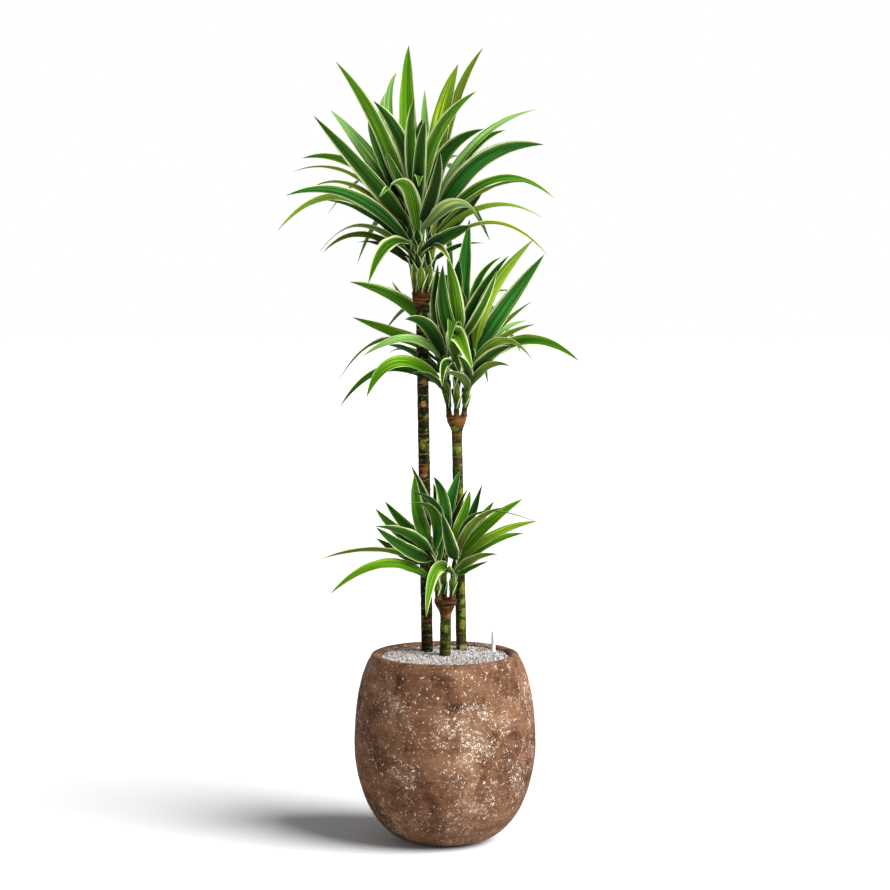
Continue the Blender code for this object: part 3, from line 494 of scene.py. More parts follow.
def pot_material():
    made, shader, place = material("pot_clay", 0.85, 0.08)
    wide = grain(place, 8.0, 4.0, 0.6, 0.6)
    middle = grain(place, 34.0, 6.0, 0.68, 0.5)
    fine = grain(place, 210.0, 5.0, 0.65)
    wiped = grain(stretched(place, 9.0, 9.0, 95.0), 1.0, 5.0, 0.6, 0.8)
    tone = weighted((wide, 0.42), (middle, 0.30), (fine, 0.14), (wiped, 0.14))
    clay = ramp(tone, (0.37, rgb(62, 38, 26)), (0.44, rgb(104, 69, 49)), (0.50, rgb(138, 97, 71)),
                (0.56, rgb(160, 117, 88)), (0.66, rgb(196, 152, 118)))

    # Lime flecks: thick where the clusters are, thin everywhere else
    cluster = grain(place, 17.0, 3.0, 0.6, 0.4)
    for centre, size, weight in CLUSTERS:
        cluster = plus(cluster, times(spot(place, centre, size), weight))
    crumbs = grain(place, 190.0, 1.0, 0.5, 1.0)
    crumbs = plus(crumbs, times(cluster, 0.26))
    crumbs = between(crumbs, 0.842, 0.857)
    curls = calc("ABSOLUTE", minus(grain(place, 145.0, 2.0, 0.5, 0.6), 0.5))
    curls = between(curls, 0.030, 0.014)
    parts = grain(place, 120.0, 2.0, 0.6, 0.8)
    parts = plus(parts, times(cluster, 0.34))
    curls = times(curls, between(parts, 0.765, 0.80))
    flecks = calc("MAXIMUM", crumbs, curls)
    haze = between(cluster, 0.55, 0.85)
    clay = blend(times(haze, 0.25), clay, rgb(200, 168, 140))
    clay = blend(times(flecks, 0.9), clay, (0.62, 0.53, 0.44))

    pits = between(grain(place, 70.0, 2.0, 0.5, 0.3), 0.735, 0.76)
    clay = blend(times(pits, 0.75), clay, rgb(34, 20, 14))
    # Painted shade: the clay is darker towards the foot of the pot.
    height_above_floor = add(shader.id_data, "SeparateXYZ", {"Vector": place}).outputs["Z"]
    painted_base_shade = ramp(height_above_floor, (0.0, (0.78, 0.76, 0.75)), (0.17, (1.0, 1.0, 1.0)))
    clay = tinted(clay, painted_base_shade)
    height = weighted((middle, 0.8), (fine, 0.5), (flecks, 0.35), (pits, -1.2))
    paint(shader, clay, height, 0.0012, 0.55)
    return made


def gravel_material():
    made, shader, place = material("gravel_grit", 0.8, 0.1)
    own = add(shader.id_data, "Attribute", attribute_name="grain").outputs["Fac"]
    colour = ramp(own, (0.0, rgb(130, 110, 104)), (0.12, rgb(196, 182, 176)), (0.32, rgb(236, 224, 218)),
                  (0.62, (0.56, 0.52, 0.50)), (0.90, (0.80, 0.77, 0.75)), (1.0, rgb(178, 140, 120)))
    speck = grain(place, 900.0, 3.0)
    colour = blend(0.35, colour, ramp(speck, (0.35, rgb(150, 146, 154)), (0.6, rgb(255, 255, 255))),
                   "MULTIPLY")
    paint(shader, colour, speck, 0.0004, 0.5)
    return made


def earth_material(name, dark, light):
    made, shader, place = material(name, 0.95, 0.15)
    crumb = grain(place, 240.0, 6.0, 0.7, 0.6)
    paint(shader, ramp(crumb, (0.35, dark), (0.65, light)), crumb, 0.003, 0.9)
    return made


def plastic_material(name, colour, roughness, transmission=0.0):
    made, shader, place = material(name, roughness, 0.5)
    shader.inputs["Transmission Weight"].default_value = transmission
    scuff = grain(stretched(place, 260.0, 260.0, 40.0), 1.0, 3.0)
    darker = tuple(0.86 * c for c in colour)
    paint(shader, ramp(scuff, (0.3, darker), (0.6, colour)), scuff, 0.0001, 0.3)
    return made


def bark_material():
    """Colour zones come painted on the cane; the fine grain is added here."""
    made, shader, place = material("cane_bark", 0.7, 0.05)
    zones = add(shader.id_data, "Attribute", attribute_name="bark").outputs["Color"]
    fibre = grain(stretched(place, 1.0, 1.0, 0.35), 620.0, 4.0, 0.6)
    blotch = grain(place, 150.0, 4.0, 0.6)
    shade = ramp(weighted((fibre, 0.5), (blotch, 0.5)),
                 (0.32, (0.42, 0.42, 0.42)), (0.5, (1.2, 1.2, 1.2)), (0.68, (1.45, 1.45, 1.45)))
    colour = tinted(zones, shade)
    paint(shader, colour, plus(fibre, blotch), 0.0007, 0.7)
    return made


def leaf_material():
    """Cream margins and long streaks, from each blade's own coordinates: across, and along to the tip."""
    made, shader, _ = material("leaf_striped", 0.50, 0.10)
    tree = shader.id_data
    shader.inputs["Specular Tint"].default_value = (0.6, 1.0, 0.4, 1.0)
    blade = add(tree, "SeparateXYZ", {"Vector": add(tree, "UVMap", uv_map="blade").outputs["UV"]})
    across = minus(times(blade.outputs["X"], 2.0), 1.0)
    along = blade.outputs["Y"]
    tint = add(tree, "Attribute", attribute_name="tint")
    margins = add(tree, "Attribute", attribute_name="edge").outputs["Color"]
    edge = add(tree, "SeparateColor", {"Color": margins})
    left, right, seed = edge.outputs["Red"], edge.outputs["Green"], edge.outputs["Blue"]
    upper = tint.outputs["Alpha"]

    offset = times(seed, 91.0)
    lines, hairs, drift = (add(tree, "CombineXYZ", {"X": times(across, wide), "Y": times(along, long),
                                                    "Z": offset}).outputs[0]
                           for wide, long in ((5.5, 1.3), (30.0, 2.4), (1.2, 9.0)))
    streak = grain(lines, 1.0, 2.0, 0.5)
    hair = grain(hairs, 1.0, 2.0, 0.5)
    wobble = times(minus(grain(drift, 1.0, 3.0), 0.5), 0.16)

    dark = tinted(tint.outputs["Color"], (0.42, 0.50, 0.40))
    light = tinted(tint.outputs["Color"], (2.3, 1.7, 1.3))
    colour = blend(between(streak, 0.40, 0.56), dark, tint.outputs["Color"])
    colour = blend(between(streak, 0.57, 0.66), colour, light)
    colour = blend(times(between(hair, 0.45, 0.72), 0.30), colour, light)

    # A yellow-green line inside each margin, then the cream margin itself
    from_left = plus(plus(across, 1.0), wobble)
    from_right = plus(minus(1.0, across), wobble)
    room_left = minus(from_left, left)
    room_right = minus(from_right, right)
    nearest = calc("MINIMUM", room_left, room_right)
    inner = times(between(nearest, 0.11, 0.15), between(nearest, 0.22, 0.17))
    colour = blend(times(inner, between(hair, 0.35, 0.55)), colour, (0.22, 0.34, 0.06))
    lime = between(nearest, 0.09, 0.02)
    colour = blend(lime, colour, rgb(112, 146, 44))
    cream = between(nearest, 0.015, -0.035)
    margin = blend(grain(lines, 2.0, 2.0), (0.42, 0.52, 0.18), (0.82, 0.89, 0.56))
    colour = blend(cream, colour, margin)

    # Paler below and at the clasping foot; the last of the tip is dry
    colour = blend(times(minus(1.0, upper), 0.06), colour,
                   rgb(124, 160, 96))
    # Painted shade: the blade is darker towards its foot, deep in the rosette.
    painted_foot_shade = times(between(along, 0.52, 0.10), 0.72)
    colour = blend(painted_foot_shade, colour, tinted(colour, (0.30, 0.34, 0.26)))
    foot = between(along, 0.05, -0.02)
    colour = blend(times(foot, 0.35), colour, rgb(120, 136, 70))
    dry = between(plus(along, times(seed, 0.02)), 0.985, 1.005)
    colour = blend(times(dry, 0.8), colour, rgb(86, 62, 34))

    paint(shader, colour, weighted((hair, 0.6), (streak, 0.6)), 0.0004, 0.5)
    glow = add(tree, "BsdfTranslucent", {"Color": tinted(colour, (1.6, 1.6, 0.6))})
    mixed = add(tree, "MixShader", {0: 0.16, 1: shader.outputs[0], 2: glow.outputs[0]})
    tree.links.new(mixed.outputs[0], tree.nodes["Material Output"].inputs["Surface"])
    return made


def sleeve_material():
    made, shader, place = material("sheath_skin", 0.6, 0.08)
    fibre = grain(stretched(place, 1.0, 1.0, 0.06), 700.0, 3.0)
    patch = grain(place, 60.0, 3.0)
    colour = ramp(weighted((fibre, 0.6), (patch, 0.4)),
                  (0.38, rgb(28, 40, 14)), (0.50, rgb(62, 82, 28)), (0.62, rgb(126, 140, 66)))
    paint(shader, colour, fibre, 0.0004, 0.6)
    return made


# Pot

def pot_outline():
    """(radius, height) from under the pot, up the wall, over the lip and down past the gravel."""
    outline = [(0.02, 0.0), (0.045, 0.0), (POT_BASE_RADIUS, 0.0)]
    for curve, steps in ((OUTER_LOWER_CURVE, 34), (OUTER_UPPER_CURVE, 34)):
        points = [(*p, 0.0) for p in curve]
        outline += [tuple(bezier(points, k / steps))[:2] for k in range(1, steps + 1)]
    for k in range(1, 16):
        angle = math.pi * k / 16
        outline.append((POT_LIP_RADIUS + POT_LIP_HALF_WIDTH * math.cos(angle),
                        LIP_CENTRE_HEIGHT + POT_LIP_ROUNDING * math.sin(angle)))
    points = [(*p, 0.0) for p in INNER_UPPER_CURVE]
    outline += [tuple(bezier(points, 1 - k / 24))[:2] for k in range(0, 20)]
    return outline + [(0.10, 0.30)]


def build_pot():
    """Hand-thrown clay: true where it stands, slightly uneven on the wall and the lip."""
    rings = []
    for radius, height in pot_outline():
        ring = []
        for _, out in directions(POT_VIEW_SIDES):
            point = out * radius + Vector((0, 0, height))
            uneven = 0.0007 * noise.noise(point * 14) + 0.0004 * noise.noise(point * 55)
            point += out * uneven * smoothstep(0.0, 0.03, height)
            ring.append(point)
        rings.append(ring)
    vertices, faces = solid_of_rings(rings)
    return add_piece("pot_wall", vertices, faces, pot_material(), "pot", "pot")


# Gravel

def grain_shapes(chance, count=40):
    """Angular grains of unit size: hulls of a few points on squashed balls."""
    shapes = []
    for _ in range(count):
        bm = bmesh.new()
        stretch = Vector((chance.uniform(0.85, 1.35), chance.uniform(0.75, 1.1), chance.uniform(0.6, 0.9)))
        for k in range(10):
            lift = 1 - (2 * k + 1) / 10
            around = k * 2.4 + chance.uniform(-0.4, 0.4)
            level = math.sqrt(1 - lift * lift)
            corner = Vector((level * math.cos(around), level * math.sin(around), lift))
            bm.verts.new(corner * chance.uniform(0.85, 1.1) * stretch)
        hull = bmesh.ops.convex_hull(bm, input=bm.verts)
        inside = [v for v in hull["geom_interior"] if isinstance(v, bmesh.types.BMVert)]
        bmesh.ops.delete(bm, geom=inside, context="VERTS")
        bm.verts.index_update()
        shapes.append(([v.co.copy() for v in bm.verts], [[v.index for v in face.verts] for face in bm.faces]))
        bm.free()
    return shapes


def build_gravel():
    """A shallow bed of grit that lies up to the pot's wall and the canes."""
    chance = random.Random(11)
    shapes = grain_shapes(chance)
    vertices, faces, own = [], [], []
    for index in range(GRAIN_COUNT):
        radius = (WELL_RADIUS - 0.0018) * math.sqrt((index + 0.5) / GRAIN_COUNT)
        angle = index * GOLDEN_ANGLE + chance.uniform(-0.02, 0.02)
        size = GRAIN_SIZE * chance.uniform(0.75, 1.25)
        crown = GRAVEL_CROWN * (1 - (radius / WELL_RADIUS) ** 2)
        centre = Vector((radius * math.cos(angle) + chance.uniform(-GRAIN_SCATTER, GRAIN_SCATTER),
                         radius * math.sin(angle) + chance.uniform(-GRAIN_SCATTER, GRAIN_SCATTER),
                         GRAVEL_TOP - 0.0022 + crown + chance.uniform(-0.0012, 0.0010)))
        axis = Vector((chance.uniform(-1, 1), chance.uniform(-1, 1), 1.0))
        turn = Matrix.Rotation(chance.uniform(0, math.tau), 3, axis)
        shape, shape_faces = chance.choice(shapes)
        shade = chance.random()
        if math.hypot(centre.x, centre.y) > WELL_RADIUS - size * 0.9:
            continue
        if any((centre - cane_point(cane, centre.z)).length < CANES[cane][2] + size * 0.7 for cane in CANES):
            continue
        if (centre - GAUGE_PLACE - Vector((0, 0, centre.z))).length < GAUGE_RADIUS + size * 0.8:
            continue
        faces += [[corner + len(vertices) for corner in face] for face in shape_faces]
        vertices += [centre + turn @ point * size for point in shape]
        own += [(shade, shade, shade)] * len(shape)
    grains = add_piece("gravel_grains", vertices, faces, gravel_material(), "gravel", "gravel_bed", crease=20)
    colour_by_vertex(grains, "grain", own)

    # The dark sheet under the grains is painted shadow, which shows in the gaps between them.
    outline = ((0.1285, 0.356), (0.1288, GRAVEL_TOP - 0.0045), (0.10, GRAVEL_TOP - 0.0036),
               (0.05, GRAVEL_TOP - 0.0030), (0.01, GRAVEL_TOP - 0.0030))
    rings = [circle((0, 0, height), radius, 64) for radius, height in outline]
    vertices, faces = solid_of_rings(rings)
    under = earth_material("gravel_shadow", rgb(34, 28, 26), rgb(88, 78, 74))
    add_piece("gravel_under", vertices, faces, under, "gravel", "gravel_bed")


# Canes

BARK = {
    "black": rgb(18, 20, 9),
    "dark": rgb(34, 44, 14),
    "green": rgb(64, 78, 24),
    "lime": rgb(140, 146, 52),
    "brown": rgb(84, 50, 28),
    "rust": rgb(112, 58, 30),
    "orange": rgb(156, 90, 42),
    "maroon": rgb(66, 32, 22),
    "tan": rgb(176, 132, 84),
    "pale": rgb(206, 184, 130),
}

# Patches of colour on a cane: height in cm, azimuth in degrees (-90 is the front), size up the
# cane in cm, size around it in degrees, and the colour
PATCHES = {
    "tall": ((110.8, -90, 2.2, 200, "brown"), (109.2, -110, 1.4, 90, "rust"), (101.0, -70, 1.5, 70, "brown"),
             (96.5, -60, 1.0, 60, "brown"), (93.0, -70, 0.9, 60, "tan"), (88.6, -85, 0.7, 60, "tan"),
             (86.0, -50, 0.8, 40, "lime"), (80.3, -100, 1.1, 50, "lime"), (79.5, -60, 0.8, 40, "green"),
             (75.2, -80, 1.0, 70, "orange"), (74.0, -95, 0.7, 50, "tan"), (71.0, -70, 1.0, 60, "maroon"),
             (44.5, -80, 0.7, 60, "brown"), (42.5, -100, 0.8, 60, "green"), (40.0, -70, 0.7, 70, "brown"),
             (47.0, -40, 1.6, 50, "black"), (54.0, -90, 2.0, 90, "green")),
    "middle": ((85.6, -90, 1.7, 200, "rust"), (84.6, -60, 0.9, 70, "orange"), (83.4, -110, 0.8, 60, "lime"),
               (81.8, -80, 0.8, 90, "rust"), (79.2, -95, 1.3, 90, "lime"), (77.0, -60, 0.9, 70, "brown"),
               (73.5, -60, 0.9, 50, "black"), (70.5, -40, 1.2, 50, "lime"), (62.0, -70, 1.5, 60, "green"),
               (50.6, -55, 1.1, 50, "lime"), (48.0, -60, 0.9, 50, "lime"), (45.6, -50, 1.2, 55, "lime"),
               (43.0, -65, 1.2, 50, "lime"), (40.5, -120, 1.3, 60, "brown"), (38.6, -60, 0.6, 80, "pale")),
    "short": ((48.8, -90, 1.8, 220, "maroon"), (47.2, -60, 0.7, 110, "rust"), (46.0, -80, 0.7, 100, "orange"),
              (45.3, -110, 0.5, 80, "rust"), (43.4, -100, 0.9, 60, "lime"), (42.0, -60, 1.0, 60, "dark"),
              (39.6, -110, 1.0, 60, "dark"), (38.6, -60, 0.9, 70, "green")),
}
BASE_BARK = {"tall": ("black", "dark", "green"), "middle": ("dark", "green", "lime"),
             "short": ("dark", "green", "lime")}
RING_HEIGHTS = {
    "tall": (38.8, 41.0, 43.2, 44.4, 46.8, 49.6, 52.5, 55.0, 58.6, 61.0, 64.2, 67.0, 70.1, 72.9, 75.0, 76.4,
             78.3, 81.3, 82.7, 85.2, 88.2, 90.6, 92.2, 95.5, 97.8, 100.3, 103.4, 105.2, 107.6, 109.0, 110.0),
    "middle": (39.0, 41.2, 43.9, 46.5, 49.4, 51.8, 54.6, 57.3, 60.0, 62.6, 65.4, 68.3, 70.9, 73.6, 75.2, 77.8,
               80.2, 82.2, 83.8, 84.9, 85.5),
    "short": (39.0, 40.5, 42.7, 44.3, 45.2, 46.2, 46.8, 47.8, 48.8),
}


def cane_point(cane, height):
    """The cane's axis at a height: straight, and leaning."""
    foot, top = CANES[cane][:2]
    return foot.lerp(top, (height - foot.z) / (top.z - foot.z))


def mix(a, b, share):
    return tuple(x + share * (y - x) for x, y in zip(a, b))


def cane_radius(cane, height):
    """The shaft's radius, growing into the knob at the top as the solid's does."""
    radius, knob_radius = CANES[cane][2:]
    share = max(0.0, 1 - (CANES[cane][1].z - height) / KNOB_HEIGHT)
    swell = min(1.0, share / 0.9)
    swell = swell * swell * (3 - 2 * swell) - 0.25 * max(0.0, share - 0.9)
    return radius + swell * (knob_radius - radius)


def ring_scars(cane, height, angle, chance_shift):
    """How strongly a leaf scar crosses this point, from 0 to 1, and the swelling that goes with it."""
    strongest = 0.0
    for index, centre in enumerate(RING_HEIGHTS[cane]):
        tilt = 0.0022 * math.sin(angle + 2.1 * index) + 0.0009 * math.sin(3 * angle + index * 1.3)
        away = abs(height - centre * CM - tilt)
        if away < 0.004:
            part = 0.55 + 0.75 * noise.noise(Vector((math.cos(angle) * 1.6, math.sin(angle) * 1.6,
                                                     index * 7.7 + chance_shift)))
            strongest = max(strongest, smoothstep(0.0011, 0.0003, away) * min(1.0, max(0.0, part + 0.25)))
    return strongest


def bark_colour(cane, point, angle, scar):
    low, middle, high = (BARK[name] for name in BASE_BARK[cane])
    fine = noise.noise(point * 210)
    finest = noise.noise(point * 420 + Vector((3, 8, 1)))
    rough = 0.42 + 0.45 * noise.noise(point * 75) + 0.40 * fine + 0.25 * finest
    colour = mix(low, middle, smoothstep(0.25, 0.60, rough))
    colour = mix(colour, high, smoothstep(0.66, 0.92, rough))
    russet = noise.noise(point * 95 + Vector((9, 3, 5))) + 0.4 * fine
    colour = mix(colour, BARK["brown"], 0.7 * smoothstep(0.24, 0.50, russet))
    fresh = noise.noise(point * 170 + Vector((1, 7, 2)))
    colour = mix(colour, BARK["lime"], 0.6 * smoothstep(0.38, 0.56, fresh))
    wander = 0.55 * noise.noise(point * 120) + 0.45 * fine + 0.25 * finest
    for height, azimuth, tall, wide, name in PATCHES[cane]:
        up = (point.z - height * CM) / (tall * CM)
        turn = (math.degrees(angle) - azimuth + 180) % 360 - 180
        away = math.hypot(up, turn / wide) + wander
        if away < 1.0:
            colour = mix(colour, BARK[name], 0.75 * smoothstep(0.85, 0.45, away))
    hot = noise.noise(point * 30 + Vector((4, 4, 1)))
    scar_colour = mix(BARK["tan"], BARK["rust"], smoothstep(0.05, 0.45, hot + 0.4 * fine))
    return mix(colour, scar_colour, 0.8 * scar)


def colour_by_vertex(piece, name, colours):
    layer = piece.data.color_attributes.new(name, "FLOAT_COLOR", "POINT")
    layer.data.foreach_set("color", [value for colour in colours for value in (*colour, 1.0)])


def build_cane(cane, bark):
    """The bark with its ring scars, from just below the gravel up to the sealed cut at the top."""
    top = CANES[cane][1].z
    count = int((top - BARK_BOTTOM) / CANE_STEP)
    rings, colours = [], []
    levels = [(BARK_BOTTOM + (top - BARK_BOTTOM) * k / count, 1.0) for k in range(count + 1)]
    levels += [(top - 0.0002, 0.93), (top - 0.0008, 0.80), (top - 0.0012, 0.5), (top - 0.0012, 0.15)]
    for height, share in levels:
        ring = []
        for angle, out in directions(CANE_VIEW_SIDES):
            radius = cane_radius(cane, height)
            point = cane_point(cane, height) + out * radius * share
            scar = ring_scars(cane, height, angle, len(cane) * 3.3) if share == 1.0 else 0.0
            lump = 0.0006 * noise.noise(point * 55) + 0.0003 * noise.noise(point * 230)
            knob = smoothstep(top - KNOB_HEIGHT, top, height)
            lump += 0.0011 * knob * noise.noise(point * 120)
            point += out * (lump + 0.0005 * scar) * share
            ring.append(point)
            colour = bark_colour(cane, point, angle, scar)
            if share < 1.0:
                colour = mix(BARK["brown"], BARK["black"], 0.5 + 0.5 * noise.noise(point * 160))
            colours.append(colour)
        rings.append(ring)
    vertices, faces = solid_of_rings(rings)
    piece = add_piece(f"{cane}_cane_bark", vertices, faces, bark, "cane", f"{cane}_cane")
    colour_by_vertex(piece, "bark", colours)


# Shoots and leaves

def stem_point(shoot, share):
    """A point up the shoot's stem, on the curve through its middle point."""
    foot, middle, top = (Vector(point) * CM for point in SHOOTS[shoot])
    control = 2 * middle - (foot + top) / 2
    return bezier((foot, control, top), share)


def stem_share(shoot, height):
    """How far up the stem a height lies."""
    low, high = 0.0, 1.0
    for _ in range(30):
        middle = (low + high) / 2
        if stem_point(shoot, middle).z < height:
            low = middle
        else:
            high = middle
    return low


def stem_radius(share):
    return SHOOT_FOOT_RADIUS + share * (SHOOT_TOP_RADIUS - SHOOT_FOOT_RADIUS)


def stem_rings(shoot, first, last, extra, count=SHOOT_RINGS):
    rings = []
    for k in range(count):
        share = first + (last - first) * k / (count - 1)
        rings.append(circle(stem_point(shoot, share), stem_radius(share) + extra, SHOOT_SIDES))
    return rings


def sheath_rings(shoot):
    """The sleeve of leaf sheaths round the upper part of a shoot, closed at the growing tip."""
    cane = shoot.split("_")[0]
    low = stem_share(shoot, stem_point(shoot, 0.0).z + BARE_STEM[cane])
    rings = stem_rings(shoot, low, 1.0, GAP + SHEATH_WALL)
    tip = stem_point(shoot, 1.0)
    rings.append([tip + Vector((0, 0, SHEATH_CAP))])
    return rings


def build_stem(shoot, bark):
    """A shoot's bare foot, with a collar where it breaks out of the cane and pale leaf scars above."""
    foot = stem_point(shoot, 0.0).z
    rings, colours = [], []
    for k in range(STEM_VIEW_RINGS + 1):
        share = STEM_VIEW_SHARE * k / STEM_VIEW_RINGS
        centre = stem_point(shoot, share)
        if k == 0:
            centre = centre - Vector((0, 0, STEM_ROOTING))
        ring = []
        for angle, out in directions(STEM_VIEW_SIDES):
            rise = centre.z - foot
            radius = stem_radius(share) * (1 + 0.35 * math.exp(-rise / 0.004))
            point = centre + out * radius
            scar = max(0.0, math.sin((rise + 0.0012 * math.sin(angle + rise * 900)) * math.tau / 0.0062))
            scar = smoothstep(0.80, 0.98, scar)
            point += out * (0.0003 * scar + 0.0005 * noise.noise(point * 160))
            ring.append(point)
            rough = 0.5 + 0.6 * noise.noise(point * 110)
            colour = mix(BARK["dark"], BARK["green"], smoothstep(0.3, 0.8, rough))
            colour = mix(colour, BARK["pale"], 0.55 * scar * smoothstep(0.2, 0.6, rough))
            colour = mix(BARK["rust"], colour, smoothstep(0.0, 0.012, rise))
            colours.append(colour)
        rings.append(ring)
    vertices, faces = solid_of_rings(rings)
    piece = add_piece(f"{shoot}_stem", vertices, faces, bark, "shoot", f"{shoot}_shoot")
    colour_by_vertex(piece, "bark", colours)


def build_sleeve(shoot, skin):
    """The rolled young sheaths, which show between the feet of the leaves."""
    cane = shoot.split("_")[0]
    low = stem_share(shoot, stem_point(shoot, 0.0).z + BARE_STEM[cane] - SLEEVE_HANG)
    rings = []
    for k in range(SLEEVE_RINGS + 1):
        share = low + (1.0 - low) * k / SLEEVE_RINGS
        centre = stem_point(shoot, share)
        radius = stem_radius(share) + SLEEVE_WALL
        rings.append([centre + out * (radius + SLEEVE_FOLDS * math.cos(5 * angle + k * 0.4))
                      for angle, out in directions(SLEEVE_SIDES)])
    tip = stem_point(shoot, 1.0)
    for k in range(1, 6):
        radius = (SHOOT_TOP_RADIUS + SLEEVE_WALL) * (1 - k / 5.3)
        rings.append([tip + out * radius + Vector((0, 0, SHEATH_CAP * k / 5))
                      for _, out in directions(SLEEVE_SIDES)])
    vertices, faces = solid_of_rings(rings)
    add_piece(f"{shoot}_sleeve", vertices, faces, skin, "leaf", f"{shoot}_leaves")


def on_sight_line(x, z, depth):
    """Slide a point of the front elevation along the line of sight to a depth y."""
    share = (depth - VIEWPOINT.y) / -VIEWPOINT.y
    return VIEWPOINT.lerp(Vector((x, 0.0, z)), share)


def leaf_spine(leaf):
    """The control points of the leaf's curve, which passes through its halfway point."""
    base, middle, tip = leaf["points"]
    return base, 2 * middle - (base + tip) / 2, tip


def leaf_half_width(width, t):
    """Half the blade's width: a narrow foot, a long even blade and a drawn-out point."""
    widening = min(1.0, LEAF_FOOT_SHARE + LEAF_WIDENING * t)
    return width / 2 * widening * (1 - t ** LEAF_POINT_POWER) ** LEAF_POINT_SHARPNESS


def facing_side(ahead, centre):
    """The direction across a blade that is seen flat on from the viewpoint."""
    return ahead.cross(centre - VIEWPOINT).normalized()


def leaf_axes(leaf, t):
    """The blade's centre, then its directions ahead, across and out of its upper face."""
    spine = leaf_spine(leaf)
    heading = Vector(spine[2] - spine[0])
    heading.z = 0.0
    level_side = heading.cross(Vector((0, 0, 1))).normalized()
    halfway = facing_side(spine[2] - spine[0], spine[1])
    if halfway.dot(level_side) < 0:
        halfway = -halfway
    centre = bezier(spine, t)
    ahead = (spine[1] - spine[0]).lerp(spine[2] - spine[1], t).normalized()
    side = facing_side(ahead, centre)
    if side.dot(halfway) < 0:
        side = -side
    side = level_side.lerp(side, leaf["facing"])
    side = (side - ahead * side.dot(ahead)).normalized()
    return centre, ahead, side, side.cross(ahead).normalized()


def leaf_rings(leaf, first=0.0, swell=0.0):
    """Four points round the blade at each step: its two edges and both faces of its midrib."""
    rings = []
    for k in range(LEAF_SEGMENTS + 1):
        t = first + (1 - first) * k / LEAF_SEGMENTS
        centre, _, side, normal = leaf_axes(leaf, t)
        half_width = leaf_half_width(leaf["width"], t) + swell
        keel = centre - normal * LEAF_FOLD * min(1.0, 5 * t) * half_width
        half_thickness = LEAF_THICKNESS / 2 * (1 - 0.6 * t) + swell
        if k == LEAF_SEGMENTS and swell == 0.0:
            rings.append([centre])
        else:
            rings.append([centre - side * half_width, keel + normal * half_thickness,
                          centre + side * half_width, keel - normal * half_thickness])
    return rings


def polygons(rings):
    """Vertices and faces of a loft, in the form that a BVH tree takes."""
    bm = loft(rings)
    bm.verts.index_update()
    vertices = [vertex.co.copy() for vertex in bm.verts]
    faces = [[vertex.index for vertex in face.verts] for face in bm.faces]
    bm.free()
    return vertices, faces


def tree(lofts):
    """One BVH tree over several lofts."""
    vertices, faces = [], []
    for rings in lofts:
        more_vertices, more_faces = polygons(rings)
        faces += [[index + len(vertices) for index in face] for face in more_faces]
        vertices += more_vertices
    return BVHTree.FromPolygons(vertices, faces)


def leaf_foot(shoot, height, towards):
    """Where a leaf leaves the wall of its sheath, on the side that it heads for."""
    share = stem_share(shoot, height)
    axis = stem_point(shoot, share)
    out = Vector((towards.x - axis.x, towards.y - axis.y, 0.0)).normalized()
    return axis + out * (stem_radius(share) + GAP + SHEATH_WALL / 3)


def front_leaf(shoot, row, depth_shift=0.0, bow=0.0):
    """A leaf from its row. The shifts move it in depth, which the elevation doesn't show."""
    base_height, middle_x, middle_z, tip_x, tip_z, tip_depth, width, facing = row
    depth = tip_depth * CM + depth_shift
    stem_depth = stem_point(shoot, stem_share(shoot, base_height * CM)).y
    middle_depth = stem_depth + MIDDLE_DEPTH_SHARE * (depth - stem_depth) + bow
    middle = on_sight_line(middle_x * CM, middle_z * CM, middle_depth)
    tip = on_sight_line(tip_x * CM, tip_z * CM, depth)
    foot = leaf_foot(shoot, base_height * CM, middle)
    return {"points": (foot, middle, tip), "width": width * CM, "facing": facing / 100}


def back_leaf(shoot, index, turn=0.0, lift=0.0):
    """The leaf of this index in a shoot's fan: low ones arch over, high ones stand."""
    count, azimuth, fan, lowest = BACK_LEAVES[shoot]
    cane = shoot.split("_")[0]
    rank = (index + 0.5) / count
    spread = 2 * ((index + 1) * GOLDEN % 1.0) - 1
    fan *= BACK_LOW_FAN + (1 - BACK_LOW_FAN) * rank
    heading = math.radians(azimuth + fan * spread + turn)
    rise = math.radians(lowest + BACK_RISE_SPAN * rank + lift)
    length = BACK_LENGTH[cane] * (1 - BACK_LENGTH_SWING + BACK_LENGTH_SWING * math.sin(5 * rank))
    low = stem_point(shoot, 0.0).z + BARE_STEM[cane] + BACK_LOWEST
    high = stem_point(shoot, BACK_HIGHEST).z
    out = Vector((math.cos(heading), math.sin(heading), 0.0))
    height = low + rank * (high - low)
    base = leaf_foot(shoot, height, stem_point(shoot, stem_share(shoot, height)) + out)
    droop = math.radians(BACK_DROOP)
    upwards = out * math.cos(rise + droop) + Vector((0, 0, math.sin(rise + droop)))
    onwards = out * math.cos(rise - droop) + Vector((0, 0, math.sin(rise - droop)))
    middle = base + BACK_MIDDLE * length * upwards
    tip = base + length * onwards
    return {"points": (base, middle, tip), "width": BACK_WIDTH, "facing": 0.0}


def choices(shoot, kind, entry):
    """The leaf as laid out, then the same leaf moved further and further aside."""
    if kind == "front":
        shifts = [(depth * 0.02, bow * 0.012) for depth in range(-7, 8) for bow in range(-4, 5)]
        make = front_leaf
    else:
        shifts = [(turn * 6.0, lift * 5.0) for turn in range(-6, 7) for lift in range(-3, 4)]
        make = back_leaf
    for first, second in sorted(shifts, key=lambda pair: abs(pair[0]) + abs(pair[1])):
        yield make(shoot, entry, first, second)


